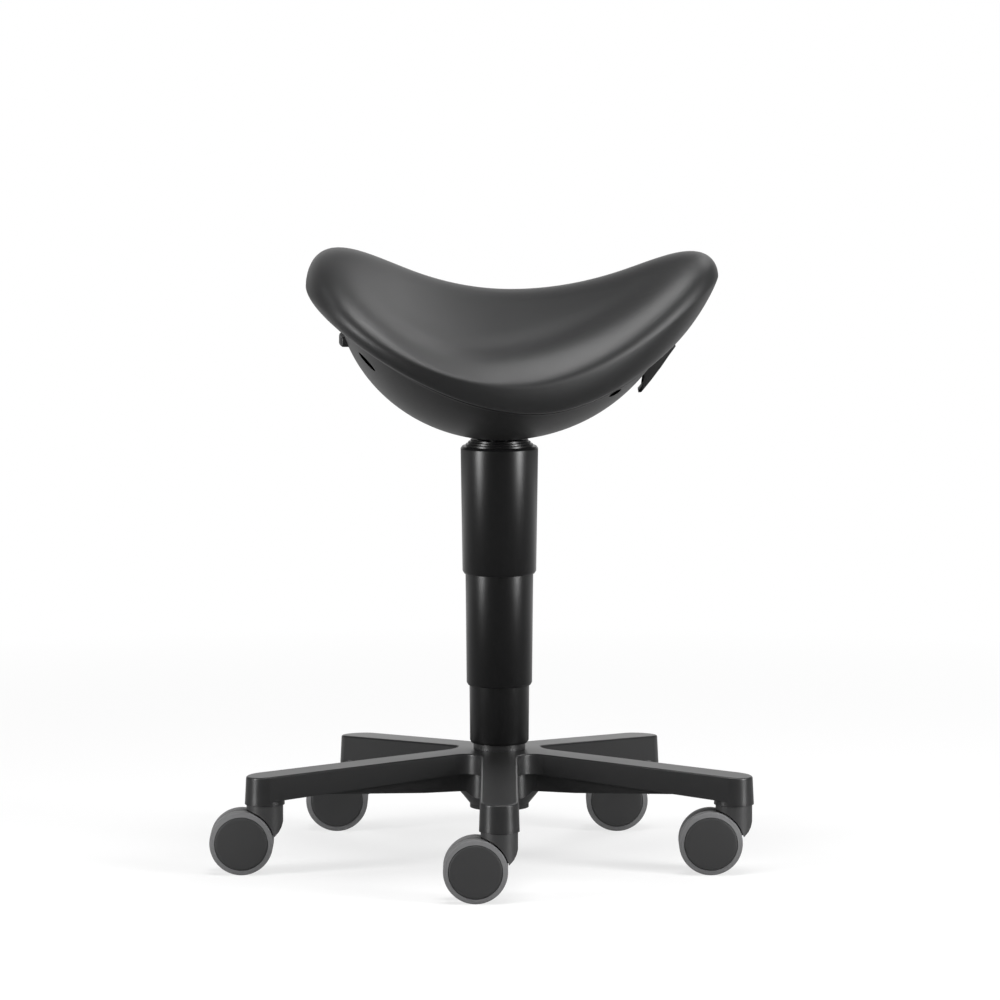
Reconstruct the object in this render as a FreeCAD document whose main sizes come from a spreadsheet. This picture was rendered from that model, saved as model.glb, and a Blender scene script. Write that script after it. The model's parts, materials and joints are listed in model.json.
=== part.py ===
import FreeCAD, Part
import math
import os
import Sketcher

# Saddle stool. Millimetres, +Z up. The origin is on the floor under the column's axis, +X points to
# the front of the saddle, and the stool is the same on both sides of the XZ plane.

doc = FreeCAD.newDocument("saddle_stool")

# Driving dimensions: name, value, what it is

driving_dimensions = [
    ("running_gap", 0.05, "radial play of a shaft in its bore"),
    ("seat_gap", 0.3, "play between pieces that lie beside each other"),
    ("leg_count", 5, "legs of the base, each with a castor"),
    ("castor_circle_radius", 251.5, "column axis to castor stem"),
    ("castor_trail", 23.7, "castor stem to wheel axle, level"),
    ("wheel_radius", 32.5, "outside of the tread"),
    ("wheel_width", 18.5, "one wheel of a castor"),
    ("wheel_spacing", 7.5, "gap between a castor's two wheels"),
    ("tread_depth", 5.0, "tread from its seat to its outside"),
    ("tread_shoulder", 2.2, "rounding of the tread's corners"),
    ("disc_dome", 1.2, "height of the wheel disc's dome"),
    ("wheel_web", 3.0, "wheel's hub and rim walls"),
    ("rim_inset", 1.0, "rim's inner edge from the wheel's inner face"),
    ("tread_inset", 0.4, "tread's inner edge from the wheel's inner face"),
    ("disc_groove", 1.1, "narrow ring between disc and tread"),
    ("axle_radius", 4.0, "castor axle"),
    ("axle_end_inset", 6.0, "axle's end inside the wheel's outer face"),
    ("axle_end_play", 0.5, "room past the axle's end"),
    ("axle_boss_radius", 8.0, "boss round the axle in the housing"),
    ("housing_radius", 18.7, "hood of the castor"),
    ("housing_top_height", 70.5, "hood's flat top"),
    ("housing_shoulder_height", 54.0, "where the hood's front edge starts to curve in"),
    ("housing_tip_height", 39.0, "hood's lowest point"),
    ("housing_tip_reach", 10.2, "hood's lowest point from the stem's axis"),
    ("housing_web", 6.5, "plate between the wheels"),
    ("wheel_clearance", 1.3, "hood's pocket round a wheel"),
    ("stem_radius", 5.5, "castor stem"),
    ("stem_length", 24.0, "stem above the hood"),
    ("stem_root", 14.0, "stem sunk into the hood"),
    ("stem_bevel", 1.5, "bevel round the stem's top"),
    ("socket_wall", 2.0, "sleeve round a castor stem"),
    ("socket_length", 26.0, "sleeve round a castor stem"),
    ("stub_foot_height", 71.0, "underside of a leg's end"),
    ("leg_half_width", 19.0, "leg at its top edge near the tip"),
    ("leg_draft", 0.05, "sideways growth of a leg's wall for each millimetre down"),
    ("leg_tip_height", 99.5, "leg's top at the tip"),
    ("leg_root_depth", 20.0, "leg's side wall at the hub"),
    ("leg_tip_depth", 26.0, "leg's side wall at the castor"),
    ("leg_edge", 2.0, "rounding of the base's top edges"),
    ("crotch_radius", 20.0, "rounding between two legs"),
    ("keel_half_width", 13.0, "rib under a leg"),
    ("keel_foot_height", 76.0, "rib's underside near the hub"),
    ("keel_level_reach", 86.0, "where the rib's underside starts to rise"),
    ("keel_reach", 200.0, "where the rib ends"),
    ("hub_radius", 30.3, "middle of the base"),
    ("hub_foot_height", 56.0, "middle of the base, underside"),
    ("hub_top_height", 117.0, "where the legs meet the hub"),
    ("collar_radius", 26.7, "ring on the hub"),
    ("collar_height", 6.0, "ring on the hub"),
    ("column_radius", 25.0, "column tube"),
    ("column_taper", 1.0, "how much the tube's foot narrows in the hub"),
    ("column_wall", 1.8, "column tube"),
    ("column_floor", 3.0, "plate that closes the column's foot"),
    ("column_top_height", 300.0, "column tube's open end"),
    ("bush_length", 45.0, "plastic guide in the column"),
    ("bush_flange", 3.0, "guide's collar on the column's end"),
    ("race_thickness", 2.0, "bearing washer"),
    ("race_inner_radius", 9.0, "bearing washer"),
    ("race_outer_radius", 20.0, "bearing washer"),
    ("ball_radius", 2.5, "bearing ball"),
    ("ball_circle_radius", 14.5, "circle of the bearing's balls"),
    ("ball_count", 14, "balls of the bearing"),
    ("rod_radius", 5.0, "piston rod"),
    ("rod_foot_drop", 6.0, "rod below the column's foot"),
    ("rod_shoulder_radius", 12.0, "rod's shoulder on the bearing"),
    ("rod_shoulder_height", 3.0, "rod's shoulder on the bearing"),
    ("rod_top_height", 254.0, "top of the piston"),
    ("clip_radius", 9.5, "clip that keeps the rod in the column"),
    ("clip_thickness", 2.5, "clip that keeps the rod in the column"),
    ("piston_length", 12.0, "piston"),
    ("lift_radius", 14.0, "gas lift's outside"),
    ("lift_wall", 2.0, "gas lift's wall"),
    ("lift_foot_height", 184.0, "gas lift's lower end"),
    ("lift_top_drop", 25.0, "gas lift's upper end below the bracket's top face"),
    ("lift_ceiling_drop", 48.0, "top of the gas space below the upper end"),
    ("lift_cone_length", 40.0, "tapered end of the gas lift"),
    ("lift_cone_taper", 0.7, "how much the tapered end narrows"),
    ("gland_length", 15.0, "seal and rod guide in the lift's foot"),
    ("valve_bore_radius", 4.0, "hole for the valve button"),
    ("valve_bore_depth", 28.0, "hole for the valve button"),
    ("button_rise", 6.0, "button above the lift"),
    ("button_depth", 23.0, "button inside the lift"),
    ("button_bevel", 1.0, "bevel round the button's top"),
    ("cover_wall", 2.3, "telescopic covers"),
    ("cover_bevel", 1.6, "bevel at a cover's foot"),
    ("lower_cover_length", 134.0, "lower cover above the hub's ring"),
    ("lower_cover_foot_radius", 30.25, "lower cover"),
    ("lower_cover_top_radius", 31.5, "lower cover"),
    ("lower_cover_flange", 3.0, "floor of the lower cover"),
    ("middle_cover_foot_height", 182.9, "middle cover"),
    ("middle_cover_length", 152.0, "middle cover"),
    ("middle_cover_foot_radius", 33.7, "middle cover"),
    ("middle_cover_top_radius", 35.15, "middle cover"),
    ("upper_cover_foot_height", 298.5, "upper cover"),
    ("upper_cover_shoulder_height", 427.5, "upper cover's shoulder"),
    ("upper_cover_foot_radius", 37.9, "upper cover"),
    ("upper_cover_top_radius", 39.75, "upper cover"),
    ("cap_step_radius", 34.5, "lowest step of the upper cover's cap"),
    ("cap_step", 2.3, "height of one step of the cap"),
    ("cap_step_inset", 2.4, "how far each step stands in"),
    ("cap_thickness", 5.5, "roof of the upper cover"),
    ("shell_foot_height", 437.0, "underside of the seat shell"),
    ("shell_wall", 4.0, "seat shell"),
    ("shell_throat_radius", 24.0, "hole in the shell round the bracket's socket"),
    ("shell_rear_reach", 171.0, "how far back the shell's side outline would close"),
    ("shell_front_reach", 186.0, "how far forward the shell's side outline would close"),
    ("shell_depth", 156.8, "depth of the shell's side outline"),
    ("vent_rear_height", 526.0, "rear vent in the shell"),
    ("vent_rear_reach", 133.0, "rear vent from the column axis"),
    ("vent_front_height", 494.0, "front vent in the shell"),
    ("vent_front_reach", 117.0, "front vent from the column axis"),
    ("vent_side_reach", 98.0, "vents from the middle plane"),
    ("vent_length", 24.0, "rear vent's long way"),
    ("vent_front_length", 14.0, "front vent's long way"),
    ("vent_width", 6.0, "vent's short way"),
    ("seat_rear_reach", 197.5, "column axis to the saddle's rear end"),
    ("seat_front_reach", 223.5, "column axis to the saddle's front end"),
    ("seat_half_width", 172.0, "saddle's half width at mid length"),
    ("seat_egg", 0.33, "how much wider the rear is than the front"),
    ("seat_bluntness", 0.72, "power of the sine in the saddle's plan, under 1 for blunt ends"),
    ("crest_height", 590.8, "lowest point of the ridge"),
    ("crest_low_reach", 12.4, "lowest point of the ridge from the column axis"),
    ("crest_rear_rise", 78.8, "ridge line's rise at the rear end before rounding"),
    ("crest_front_rise", 66.1, "ridge line's rise at the front end before rounding"),
    ("rear_rounding", 76.4, "length over which the ridge rounds off at the rear end"),
    ("front_rounding", 70.0, "length over which the ridge rounds off at the front end"),
    ("end_rounding_power", 1.2, "fullness of the ends, 2 for a quarter ellipse"),
    ("edge_height", 505.0, "lowest point of the widest line"),
    ("edge_low_reach", 25.0, "lowest point of the widest line from the column axis"),
    ("edge_rear_height", 600.0, "widest line at the rear end"),
    ("edge_sag_power", 1.8, "shape of the widest line's sag, 2 for a parabola"),
    ("edge_front_height", 606.0, "widest line at the front end"),
    ("lip_rise", 24.0, "top of the rolled edge above the widest line"),
    ("lip_width", 40.0, "rolled edge seen from above"),
    ("ridge_half_width", 42.0, "rounded ridge"),
    ("seam_height", 478.0, "lowest point of the cushion's lower border"),
    ("seam_low_reach", 42.0, "lowest point of the border from the column axis"),
    ("seam_rear_height", 568.0, "border at the rear end"),
    ("seam_front_height", 543.0, "border at the front end"),
    ("seam_sag_power", 1.85, "shape of the border's sag, 2 for a parabola"),
    ("seam_side_inset", 12.0, "border from the widest line at the sides"),
    ("seam_rear_inset", 33.0, "border from the widest line at the rear end"),
    ("seam_front_inset", 40.0, "border from the widest line at the front end"),
    ("pan_rise", 34.0, "arch of the pan above the border"),
    ("pan_thickness", 5.0, "seat pan"),
    ("pan_side_inset", 42.0, "seat pan's edge from the cushion's border"),
    ("pan_rear_reach", 118.0, "seat pan behind the column axis"),
    ("pan_front_reach", 120.0, "seat pan before the column axis"),
    ("bracket_rear_reach", 62.0, "bracket's top plate behind the column axis"),
    ("bracket_front_reach", 76.0, "bracket's top plate before the column axis"),
    ("bracket_half_width", 42.0, "bracket's top plate"),
    ("bracket_plate", 4.0, "bracket's plates"),
    ("bracket_depth", 45.0, "bracket's top face above its lower plate's underside"),
    ("cheek_half_gap", 12.0, "inside of the bracket's side plates"),
    ("cheek_thickness", 3.0, "bracket's side plates"),
    ("bracket_flange", 8.0, "bracket's lower plate beyond its side plates"),
    ("cheek_rear_reach", 40.0, "bracket's side plates behind the column axis"),
    ("cheek_front_reach", 72.0, "bracket's side plates before the column axis"),
    ("socket_boss_radius", 21.0, "bracket's socket for the gas lift"),
    ("bracket_screw_radius", 3.0, "screws between bracket and pan"),
    ("bracket_screw_head", 5.5, "screws between bracket and pan"),
    ("bracket_screw_head_height", 3.0, "screws between bracket and pan"),
    ("bracket_screw_x", 50.0, "screw from the column axis, lengthways"),
    ("bracket_screw_y", 31.0, "screw from the column axis, sideways"),
    ("pan_boss_radius", 8.0, "pan's bosses for the screws"),
    ("pan_boss_height", 4.0, "shortest of the pan's bosses"),
    ("lever_pivot_reach", 60.0, "lever's pin from the column axis"),
    ("lever_pin_radius", 3.0, "lever's pin"),
    ("lever_eye_radius", 8.0, "lever round its pin"),
    ("lever_half_width", 6.0, "lever's bar"),
    ("lever_thickness", 8.0, "lever's bar"),
    ("lever_tail", 9.0, "lever past the button's axis"),
    ("paddle_foot_reach", 144.5, "paddle's free edge"),
    ("paddle_foot_height", 483.5, "paddle's free edge"),
    ("paddle_root_reach", 179.0, "paddle's upper edge"),
    ("paddle_root_height", 531.0, "paddle's upper edge"),
    ("paddle_mouth_height", 13.0, "paddle's open side above its free edge"),
    ("paddle_half_width", 26.0, "paddle"),
    ("paddle_wall", 3.0, "paddle"),
    ("lever_slot_height", 22.0, "slot in the shell that the lever passes through"),
    ("lever_slot_start", 114.5, "slot's inner end from the column axis"),
    ("lever_play", 3.0, "slot's width beyond the lever on each side"),
    ("grip_reach", 165.0, "rear grip's back face"),
    ("grip_length", 17.0, "rear grip, along the seat"),
    ("grip_foot_height", 529.5, "rear grip's underside"),
    ("grip_half_width", 42.0, "rear grip"),
    ("grip_height", 15.5, "rear grip"),
]


class Size:
    """A length that knows both its number and its formula on the sheet."""

    def __init__(self, number, formula):
        self.number = float(number)
        self.formula = formula

    def joined(self, other, sign, number, swapped=False):
        mine = self.formula
        theirs = other.formula if isinstance(other, Size) else repr(float(other))
        if swapped:
            mine, theirs = theirs, mine
        return Size(number, "(" + mine + " " + sign + " " + theirs + ")")

    def __float__(self):
        return self.number

    def __add__(self, other):
        return self.joined(other, "+", self.number + float(other))

    def __radd__(self, other):
        return self.joined(other, "+", float(other) + self.number, swapped=True)

    def __sub__(self, other):
        return self.joined(other, "-", self.number - float(other))

    def __rsub__(self, other):
        return self.joined(other, "-", float(other) - self.number, swapped=True)

    def __mul__(self, other):
        return self.joined(other, "*", self.number * float(other))

    def __rmul__(self, other):
        return self.joined(other, "*", float(other) * self.number, swapped=True)

    def __truediv__(self, other):
        return self.joined(other, "/", self.number / float(other))

    def __neg__(self):
        return Size(-self.number, "(0 - " + self.formula + ")")


sheet = doc.addObject("Spreadsheet::Sheet", "Sizes")
for row, (alias, value, meaning) in enumerate(driving_dimensions, start=1):
    sheet.set("A%d" % row, meaning)
    sheet.set("B%d" % row, str(value))
    sheet.setAlias("B%d" % row, alias)
doc.recompute()


class Sizes:
    """Every driving dimension, read back from the sheet."""


size = Sizes()
for alias, value, meaning in driving_dimensions:
    setattr(size, alias, Size(sheet.get(alias), "Sizes." + alias))

leg_count = int(float(size.leg_count))
ball_count = int(float(size.ball_count))
zero = Size(0.0, "0")


# Makers of document objects whose sizes are bound to the sheet

nodes = []


def keep(piece, label):
    """Marks a piece as a node of the stool under its own label."""
    piece.Label = label
    nodes.append(piece)
    return piece


def place(piece, x=zero, y=zero, z=zero, turn=None):
    if turn is not None:
        piece.Placement = FreeCAD.Placement(FreeCAD.Vector(0, 0, 0), turn)
    for axis, length in (("x", x), ("y", y), ("z", z)):
        if isinstance(length, Size):
            piece.setExpression("Placement.Base." + axis, length.formula)
        else:
            piece.setExpression("Placement.Base." + axis, repr(float(length)))
    return piece


def pin_point(sketch, geometry, x, z):
    """Ties the start point of a line to its two coordinates."""
    for kind, length, axis in (("DistanceX", x, -2), ("DistanceY", z, -1)):
        if abs(float(length)) < 1e-9:
            sketch.addConstraint(Sketcher.Constraint("PointOnObject", geometry, 1, axis))
            continue
        if float(length) > 0:
            constraint = Sketcher.Constraint(kind, -1, 1, geometry, 1, float(length))
        else:
            constraint = Sketcher.Constraint(kind, geometry, 1, -1, 1, -float(length))
            length = -length
        index = sketch.addConstraint(constraint)
        if isinstance(length, Size):
            sketch.setExpression("Constraints[%d]" % index, length.formula)


def draw_outline(sketch, points):
    """A closed outline of straight lines through points whose coordinates are bound."""
    corners = [FreeCAD.Vector(float(x), float(z), 0) for x, z in points]
    count = len(corners)
    for index in range(count):
        sketch.addGeometry(Part.LineSegment(corners[index], corners[(index + 1) % count]), False)
    for index in range(count):
        sketch.addConstraint(Sketcher.Constraint("Coincident", index, 2, (index + 1) % count, 1))
    for index, (x, z) in enumerate(points):
        pin_point(sketch, index, x, z)


def body_sketch(body, name, role="XZ_Plane"):
    sketch = body.newObject("Sketcher::SketchObject", name)
    plane = [feature for feature in body.Origin.OriginFeatures if feature.Role == role][0]
    sketch.AttachmentSupport = [(plane, "")]
    sketch.MapMode = "FlatFace"
    return sketch


def circle_edges(shape, radius, height):
    """Names of the circular edges about the turning axis with this radius and height."""
    names = []
    for index, edge in enumerate(shape.Edges, start=1):
        if not isinstance(edge.Curve, Part.Circle):
            continue
        centre = edge.Curve.Center
        off_axis = math.hypot(centre.x, centre.y)
        if off_axis < 1e-4 and abs(centre.z - height) < 1e-4 and abs(edge.Curve.Radius - radius) < 1e-4:
            names.append("Edge%d" % index)
    return names


def turned(name, outline):
    """A body turned about its Z axis. Each outline point is (radius, height) or, where the corner is
    rounded, (radius, height, rounding)."""
    body = doc.addObject("PartDesign::Body", name)
    sketch = body_sketch(body, name + "_outline")
    draw_outline(sketch, [point[:2] for point in outline])
    solid = body.newObject("PartDesign::Revolution", name + "_turned")
    solid.Profile = sketch
    solid.ReferenceAxis = (sketch, ["V_Axis"])
    solid.Angle = 360
    body.Tip = solid
    rounded = [point for point in outline if len(point) == 3]
    if rounded:
        doc.recompute()
        for index, (radius, height, rounding) in enumerate(rounded):
            base = body.Tip
            edges = circle_edges(base.Shape, float(radius), float(height))
            fillet = body.newObject("PartDesign::Fillet", name + "_round%d" % index)
            fillet.Base = (base, edges)
            fillet.setExpression("Radius", rounding.formula)
            body.Tip = fillet
            doc.recompute()
    return body


def side_prism(name, outline, half_width):
    """A body with a side outline in XZ, padded evenly to both sides."""
    body = doc.addObject("PartDesign::Body", name)
    sketch = body_sketch(body, name + "_outline")
    draw_outline(sketch, outline)
    pad = body.newObject("PartDesign::Pad", name + "_pad")
    pad.Profile = sketch
    pad.Midplane = True
    pad.setExpression("Length", (half_width * 2).formula)
    body.Tip = pad
    return body


def box(name, low, high):
    piece = doc.addObject("Part::Box", name)
    for prop, start, end in zip(("Length", "Width", "Height"), low, high):
        piece.setExpression(prop, (end - start).formula)
    return place(piece, *low)


def cylinder(name, radius, length, x=zero, y=zero, z=zero, along_y=False):
    """A cylinder that stands on a point, or that starts at it and runs along +Y."""
    piece = doc.addObject("Part::Cylinder", name)
    piece.setExpression("Radius", radius.formula)
    piece.setExpression("Height", length.formula)
    turn = FreeCAD.Rotation(FreeCAD.Vector(1, 0, 0), -90) if along_y else None
    return place(piece, x, y, z, turn)


def cone(name, foot_radius, top_radius, length, x=zero, y=zero, z=zero):
    piece = doc.addObject("Part::Cone", name)
    piece.setExpression("Radius1", foot_radius.formula)
    piece.setExpression("Radius2", top_radius.formula)
    piece.setExpression("Height", length.formula)
    return place(piece, x, y, z)


def fused(name, pieces):
    whole = doc.addObject("Part::MultiFuse", name)
    whole.Shapes = pieces
    return whole


def common(name, base, tool):
    whole = doc.addObject("Part::Common", name)
    whole.Base = base
    whole.Tool = tool
    return whole


def cut(name, base, tools):
    """One piece with every tool taken away from it."""
    tool = tools[0]
    if len(tools) > 1:
        tool = fused(name + "_tools", tools)
    whole = doc.addObject("Part::Cut", name)
    whole.Base = base
    whole.Tool = tool
    return whole


def shaped(name, shape):
    piece = doc.addObject("Part::Feature", name)
    piece.Shape = shape
    return piece


def group(name, pieces):
    whole = doc.addObject("Part::Compound", name)
    whole.Links = pieces
    return whole


def vector(x, y, z):
    return FreeCAD.Vector(float(x), float(y), float(z))


# Star base: five legs, each a tapered slot in plan, under a shallow cone

def leg_angle(index):
    """The first leg points to -Y, the next follow clockwise seen from above."""
    return math.radians(-90.0 - 360.0 * index / leg_count)


def star_outline(half_width, crotch, height):
    """Plan of the star: round leg ends, straight sides and a round crotch between two legs."""
    reach = float(size.castor_circle_radius)
    half_step = math.pi / leg_count
    crotch_distance = (half_width + crotch) / math.sin(half_step)
    root = crotch_distance * math.cos(half_step)
    edges = []
    for index in range(leg_count):
        angle = leg_angle(index)
        along = vector(math.cos(angle), math.sin(angle), 0)
        across = vector(-math.sin(angle), math.cos(angle), 0)
        lift = vector(0, 0, height)
        left_root = along * root + across * half_width + lift
        left_tip = along * reach + across * half_width + lift
        nose = along * (reach + half_width) + lift
        right_tip = along * reach - across * half_width + lift
        right_root = along * root - across * half_width + lift
        gap_angle = angle - half_step
        gap = vector(math.cos(gap_angle), math.sin(gap_angle), 0)
        crotch_middle = gap * (crotch_distance - crotch) + lift
        next_angle = leg_angle(index + 1)
        next_along = vector(math.cos(next_angle), math.sin(next_angle), 0)
        next_across = vector(-math.sin(next_angle), math.cos(next_angle), 0)
        next_root = next_along * root + next_across * half_width + lift
        edges.append(Part.makeLine(left_root, left_tip))
        edges.append(Part.Arc(left_tip, nose, right_tip).toShape())
        edges.append(Part.makeLine(right_tip, right_root))
        edges.append(Part.Arc(right_root, crotch_middle, next_root).toShape())
    return Part.Wire(edges)


def star_prism(half_width_at_tip, foot, top):
    """The star between two heights, wider towards the floor by the draft."""
    draft = float(size.leg_draft)
    level = float(size.leg_tip_height)
    crotch = float(size.crotch_radius)
    wires = []
    for height in (foot, top):
        growth = draft * (level - height)
        wires.append(star_outline(half_width_at_tip + growth, crotch - growth, height))
    return Part.makeLoft(wires, True, True)


def turned_profile(points):
    """A solid turned about the column's axis from (radius, height) points."""
    corners = [vector(radius, 0, height) for radius, height in points]
    face = Part.Face(Part.makePolygon(corners + corners[:1]))
    return face.revolve(vector(0, 0, 0), vector(0, 0, 1), 360)


def make_star_base():
    hub_top = float(size.hub_top_height)
    tip_top = float(size.leg_tip_height)
    hub = float(size.collar_radius)
    tip = float(size.castor_circle_radius) + float(size.leg_half_width)
    beyond = tip + float(size.hub_radius)
    slope = (hub_top - tip_top) / (tip - hub)
    wall_rise = (float(size.leg_tip_depth) - float(size.leg_root_depth)) / (tip - hub)
    low_hub = hub_top - float(size.leg_root_depth)
    low_slope = slope + wall_rise
    wide = star_prism(float(size.leg_half_width), float(size.hub_foot_height), hub_top + 1.0)
    legs_zone = turned_profile([
        (0, low_hub),
        (hub, low_hub),
        (beyond, low_hub - low_slope * (beyond - hub)),
        (beyond, hub_top - slope * (beyond - hub)),
        (hub, hub_top),
        (0, hub_top),
    ])
    legs = wide.common(legs_zone)
    top_edges = []
    for edge in legs.Edges:
        heights = [hub_top - slope * (math.hypot(v.X, v.Y) - hub) - v.Z for v in edge.Vertexes]
        middle = edge.valueAt((edge.FirstParameter + edge.LastParameter) / 2)
        inside = math.hypot(middle.x, middle.y) > float(size.hub_radius)
        if inside and max(abs(gap) for gap in heights) < 0.5:
            top_edges.append(edge)
    legs = legs.makeFillet(float(size.leg_edge), top_edges)
    narrow = star_prism(float(size.keel_half_width), float(size.hub_foot_height), hub_top - 4.0)
    keel_end = float(size.keel_reach)
    keel_end_height = low_hub - low_slope * (keel_end - hub)
    keel_zone = turned_profile([
        (0, float(size.keel_foot_height)),
        (float(size.keel_level_reach), float(size.keel_foot_height)),
        (keel_end, keel_end_height),
        (keel_end, keel_end_height + 4.0),
        (0, low_hub + 4.0),
    ])
    base = legs.fuse(narrow.common(keel_zone))
    hub_solid = Part.makeCylinder(float(size.hub_radius), hub_top - 2.0 - float(size.hub_foot_height),
                                  vector(0, 0, size.hub_foot_height))
    skirt_top = float(size.keel_foot_height)
    skirt = Part.makeCone(float(size.hub_radius), float(size.hub_radius) + 14.0,
                          skirt_top - float(size.hub_foot_height) - 3.0,
                          vector(0, 0, float(size.hub_foot_height) + 4.0))
    skirt = skirt.common(narrow)
    collar = Part.makeCylinder(float(size.collar_radius), float(size.collar_height) + 2.0,
                               vector(0, 0, hub_top - 2.0))
    base = base.fuse([hub_solid, skirt, collar])
    draft = float(size.leg_draft)
    stub_foot = float(size.stub_foot_height)
    stub_length = tip_top - 4.0 - stub_foot
    stub_foot_radius = float(size.leg_half_width) + draft * (tip_top - stub_foot)
    stub_top_radius = stub_foot_radius - draft * stub_length
    bore = float(size.stem_radius + size.running_gap + size.socket_wall)
    stubs = []
    bores = []
    for index in range(leg_count):
        angle = leg_angle(index)
        reach = float(size.castor_circle_radius)
        foot = vector(reach * math.cos(angle), reach * math.sin(angle), stub_foot)
        stub = Part.makeCone(stub_foot_radius, stub_top_radius, stub_length, foot)
        stubs.append(stub)
        bores.append(Part.makeCylinder(bore, float(size.socket_length), foot))
    base = base.fuse(stubs).cut(bores)
    column_foot = float(size.column_radius - size.column_taper)
    socket = Part.makeCone(column_foot, float(size.column_radius), hub_top - float(size.hub_foot_height),
                           vector(0, 0, size.hub_foot_height))
    throat = Part.makeCylinder(float(size.column_radius), float(size.collar_height) + 1.0,
                               vector(0, 0, hub_top))
    return base.cut([socket, throat]).removeSplitter()


keep(shaped("star_base", make_star_base()), "star_base")

socket_outer = size.stem_radius + size.running_gap + size.socket_wall
sleeves = []
for leg_index in range(leg_count):
    sleeve = turned("socket_sleeve%d" % (leg_index + 1), [
        (size.stem_radius + size.running_gap, size.stub_foot_height),
        (socket_outer, size.stub_foot_height),
        (socket_outer, size.stub_foot_height + size.socket_length),
        (size.stem_radius + size.running_gap, size.stub_foot_height + size.socket_length),
    ])
    place(sleeve, size.castor_circle_radius * math.cos(leg_angle(leg_index)),
          size.castor_circle_radius * math.sin(leg_angle(leg_index)))
    sleeves.append(sleeve)
keep(group("castor_sockets", sleeves), "castor_sockets")


# Column: steel tube with a plate at its foot, guide bush, thrust bearing

column_foot_radius = size.column_radius - size.column_taper
column_bore = size.column_radius - size.column_wall
foot_bore = column_foot_radius - size.column_wall
plate_top = size.hub_foot_height + size.column_floor
rod_hole = size.rod_radius + size.running_gap
keep(turned("column_tube", [
    (rod_hole, size.hub_foot_height),
    (column_foot_radius, size.hub_foot_height),
    (size.column_radius, size.hub_top_height),
    (size.column_radius, size.column_top_height),
    (column_bore, size.column_top_height),
    (column_bore, size.hub_top_height),
    (foot_bore, plate_top),
    (rod_hole, plate_top),
]), "column_tube")

keep(turned("guide_bush", [
    (size.lift_radius + size.running_gap, size.column_top_height - size.bush_length),
    (column_bore, size.column_top_height - size.bush_length),
    (column_bore, size.column_top_height),
    (size.column_radius, size.column_top_height),
    (size.column_radius, size.column_top_height + size.bush_flange),
    (size.lift_radius + size.running_gap, size.column_top_height + size.bush_flange),
]), "guide_bush")


def bearing_washer(name, foot):
    return keep(turned(name, [
        (size.race_inner_radius, foot),
        (size.race_outer_radius, foot),
        (size.race_outer_radius, foot + size.race_thickness),
        (size.race_inner_radius, foot + size.race_thickness),
    ]), name)


bearing_washer("bearing_lower_race", plate_top)
ball_centre_height = plate_top + size.race_thickness + size.ball_radius + size.running_gap
upper_race_foot = ball_centre_height + size.ball_radius
bearing_washer("bearing_upper_race", upper_race_foot)
balls = []
for ball_index in range(ball_count):
    ball_angle = 2 * math.pi * ball_index / ball_count
    ball = doc.addObject("Part::Sphere", "bearing_ball%d" % (ball_index + 1))
    ball.setExpression("Radius", size.ball_radius.formula)
    place(ball, size.ball_circle_radius * math.cos(ball_angle),
          size.ball_circle_radius * math.sin(ball_angle), ball_centre_height)
    balls.append(ball)
keep(group("bearing_balls", balls), "bearing_balls")


# Gas lift: rod with piston held in the column, cylinder held in the seat bracket

bracket_top = size.seam_height + size.pan_rise - size.pan_thickness - size.pan_boss_height
lift_top = bracket_top - size.lift_top_drop
shoulder_foot = upper_race_foot + size.race_thickness
shoulder_top = shoulder_foot + size.rod_shoulder_height
piston_foot = size.rod_top_height - size.piston_length
keep(turned("piston_rod", [
    (zero, size.hub_foot_height - size.rod_foot_drop),
    (size.rod_radius, size.hub_foot_height - size.rod_foot_drop),
    (size.rod_radius, shoulder_foot),
    (size.rod_shoulder_radius, shoulder_foot),
    (size.rod_shoulder_radius, shoulder_top),
    (size.rod_radius, shoulder_top),
    (size.rod_radius, piston_foot),
    (zero, piston_foot),
]), "piston_rod")

lift_bore = size.lift_radius - size.lift_wall
keep(turned("piston", [
    (zero, piston_foot),
    (lift_bore - size.running_gap, piston_foot),
    (lift_bore - size.running_gap, size.rod_top_height),
    (zero, size.rod_top_height),
]), "piston")

clip_top = size.hub_foot_height - size.seat_gap
keep(turned("rod_clip", [
    (size.rod_radius, clip_top - size.clip_thickness),
    (size.clip_radius, clip_top - size.clip_thickness),
    (size.clip_radius, clip_top),
    (size.rod_radius, clip_top),
]), "rod_clip")

lift_ceiling = lift_top - size.lift_ceiling_drop
lift_cone_foot = lift_top - size.lift_cone_length
lift_tip_radius = size.lift_radius - size.lift_cone_taper
valve_floor = lift_top - size.valve_bore_depth
keep(turned("gas_cylinder", [
    (lift_bore, size.lift_foot_height),
    (size.lift_radius, size.lift_foot_height),
    (size.lift_radius, lift_cone_foot),
    (lift_tip_radius, lift_top),
    (size.valve_bore_radius, lift_top),
    (size.valve_bore_radius, valve_floor),
    (zero, valve_floor),
    (zero, lift_ceiling),
    (lift_bore, lift_ceiling),
]), "gas_cylinder")

keep(turned("cylinder_gland", [
    (size.rod_radius + size.running_gap, size.lift_foot_height),
    (lift_bore, size.lift_foot_height),
    (lift_bore, size.lift_foot_height + size.gland_length),
    (size.rod_radius + size.running_gap, size.lift_foot_height + size.gland_length),
]), "cylinder_gland")

button_top = lift_top + size.button_rise
button_foot = lift_top - size.button_depth
button_radius = size.valve_bore_radius - size.running_gap
bar_foot = button_top + size.seat_gap
pivot_height = bar_foot + size.lever_thickness / 2
keep(turned("valve_button", [
    (zero, button_foot),
    (button_radius, button_foot),
    (button_radius, button_top - size.button_bevel),
    (button_radius - size.button_bevel, button_top),
    (zero, button_top),
]), "valve_button")


# Telescopic covers: three tubes that narrow downwards

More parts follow.
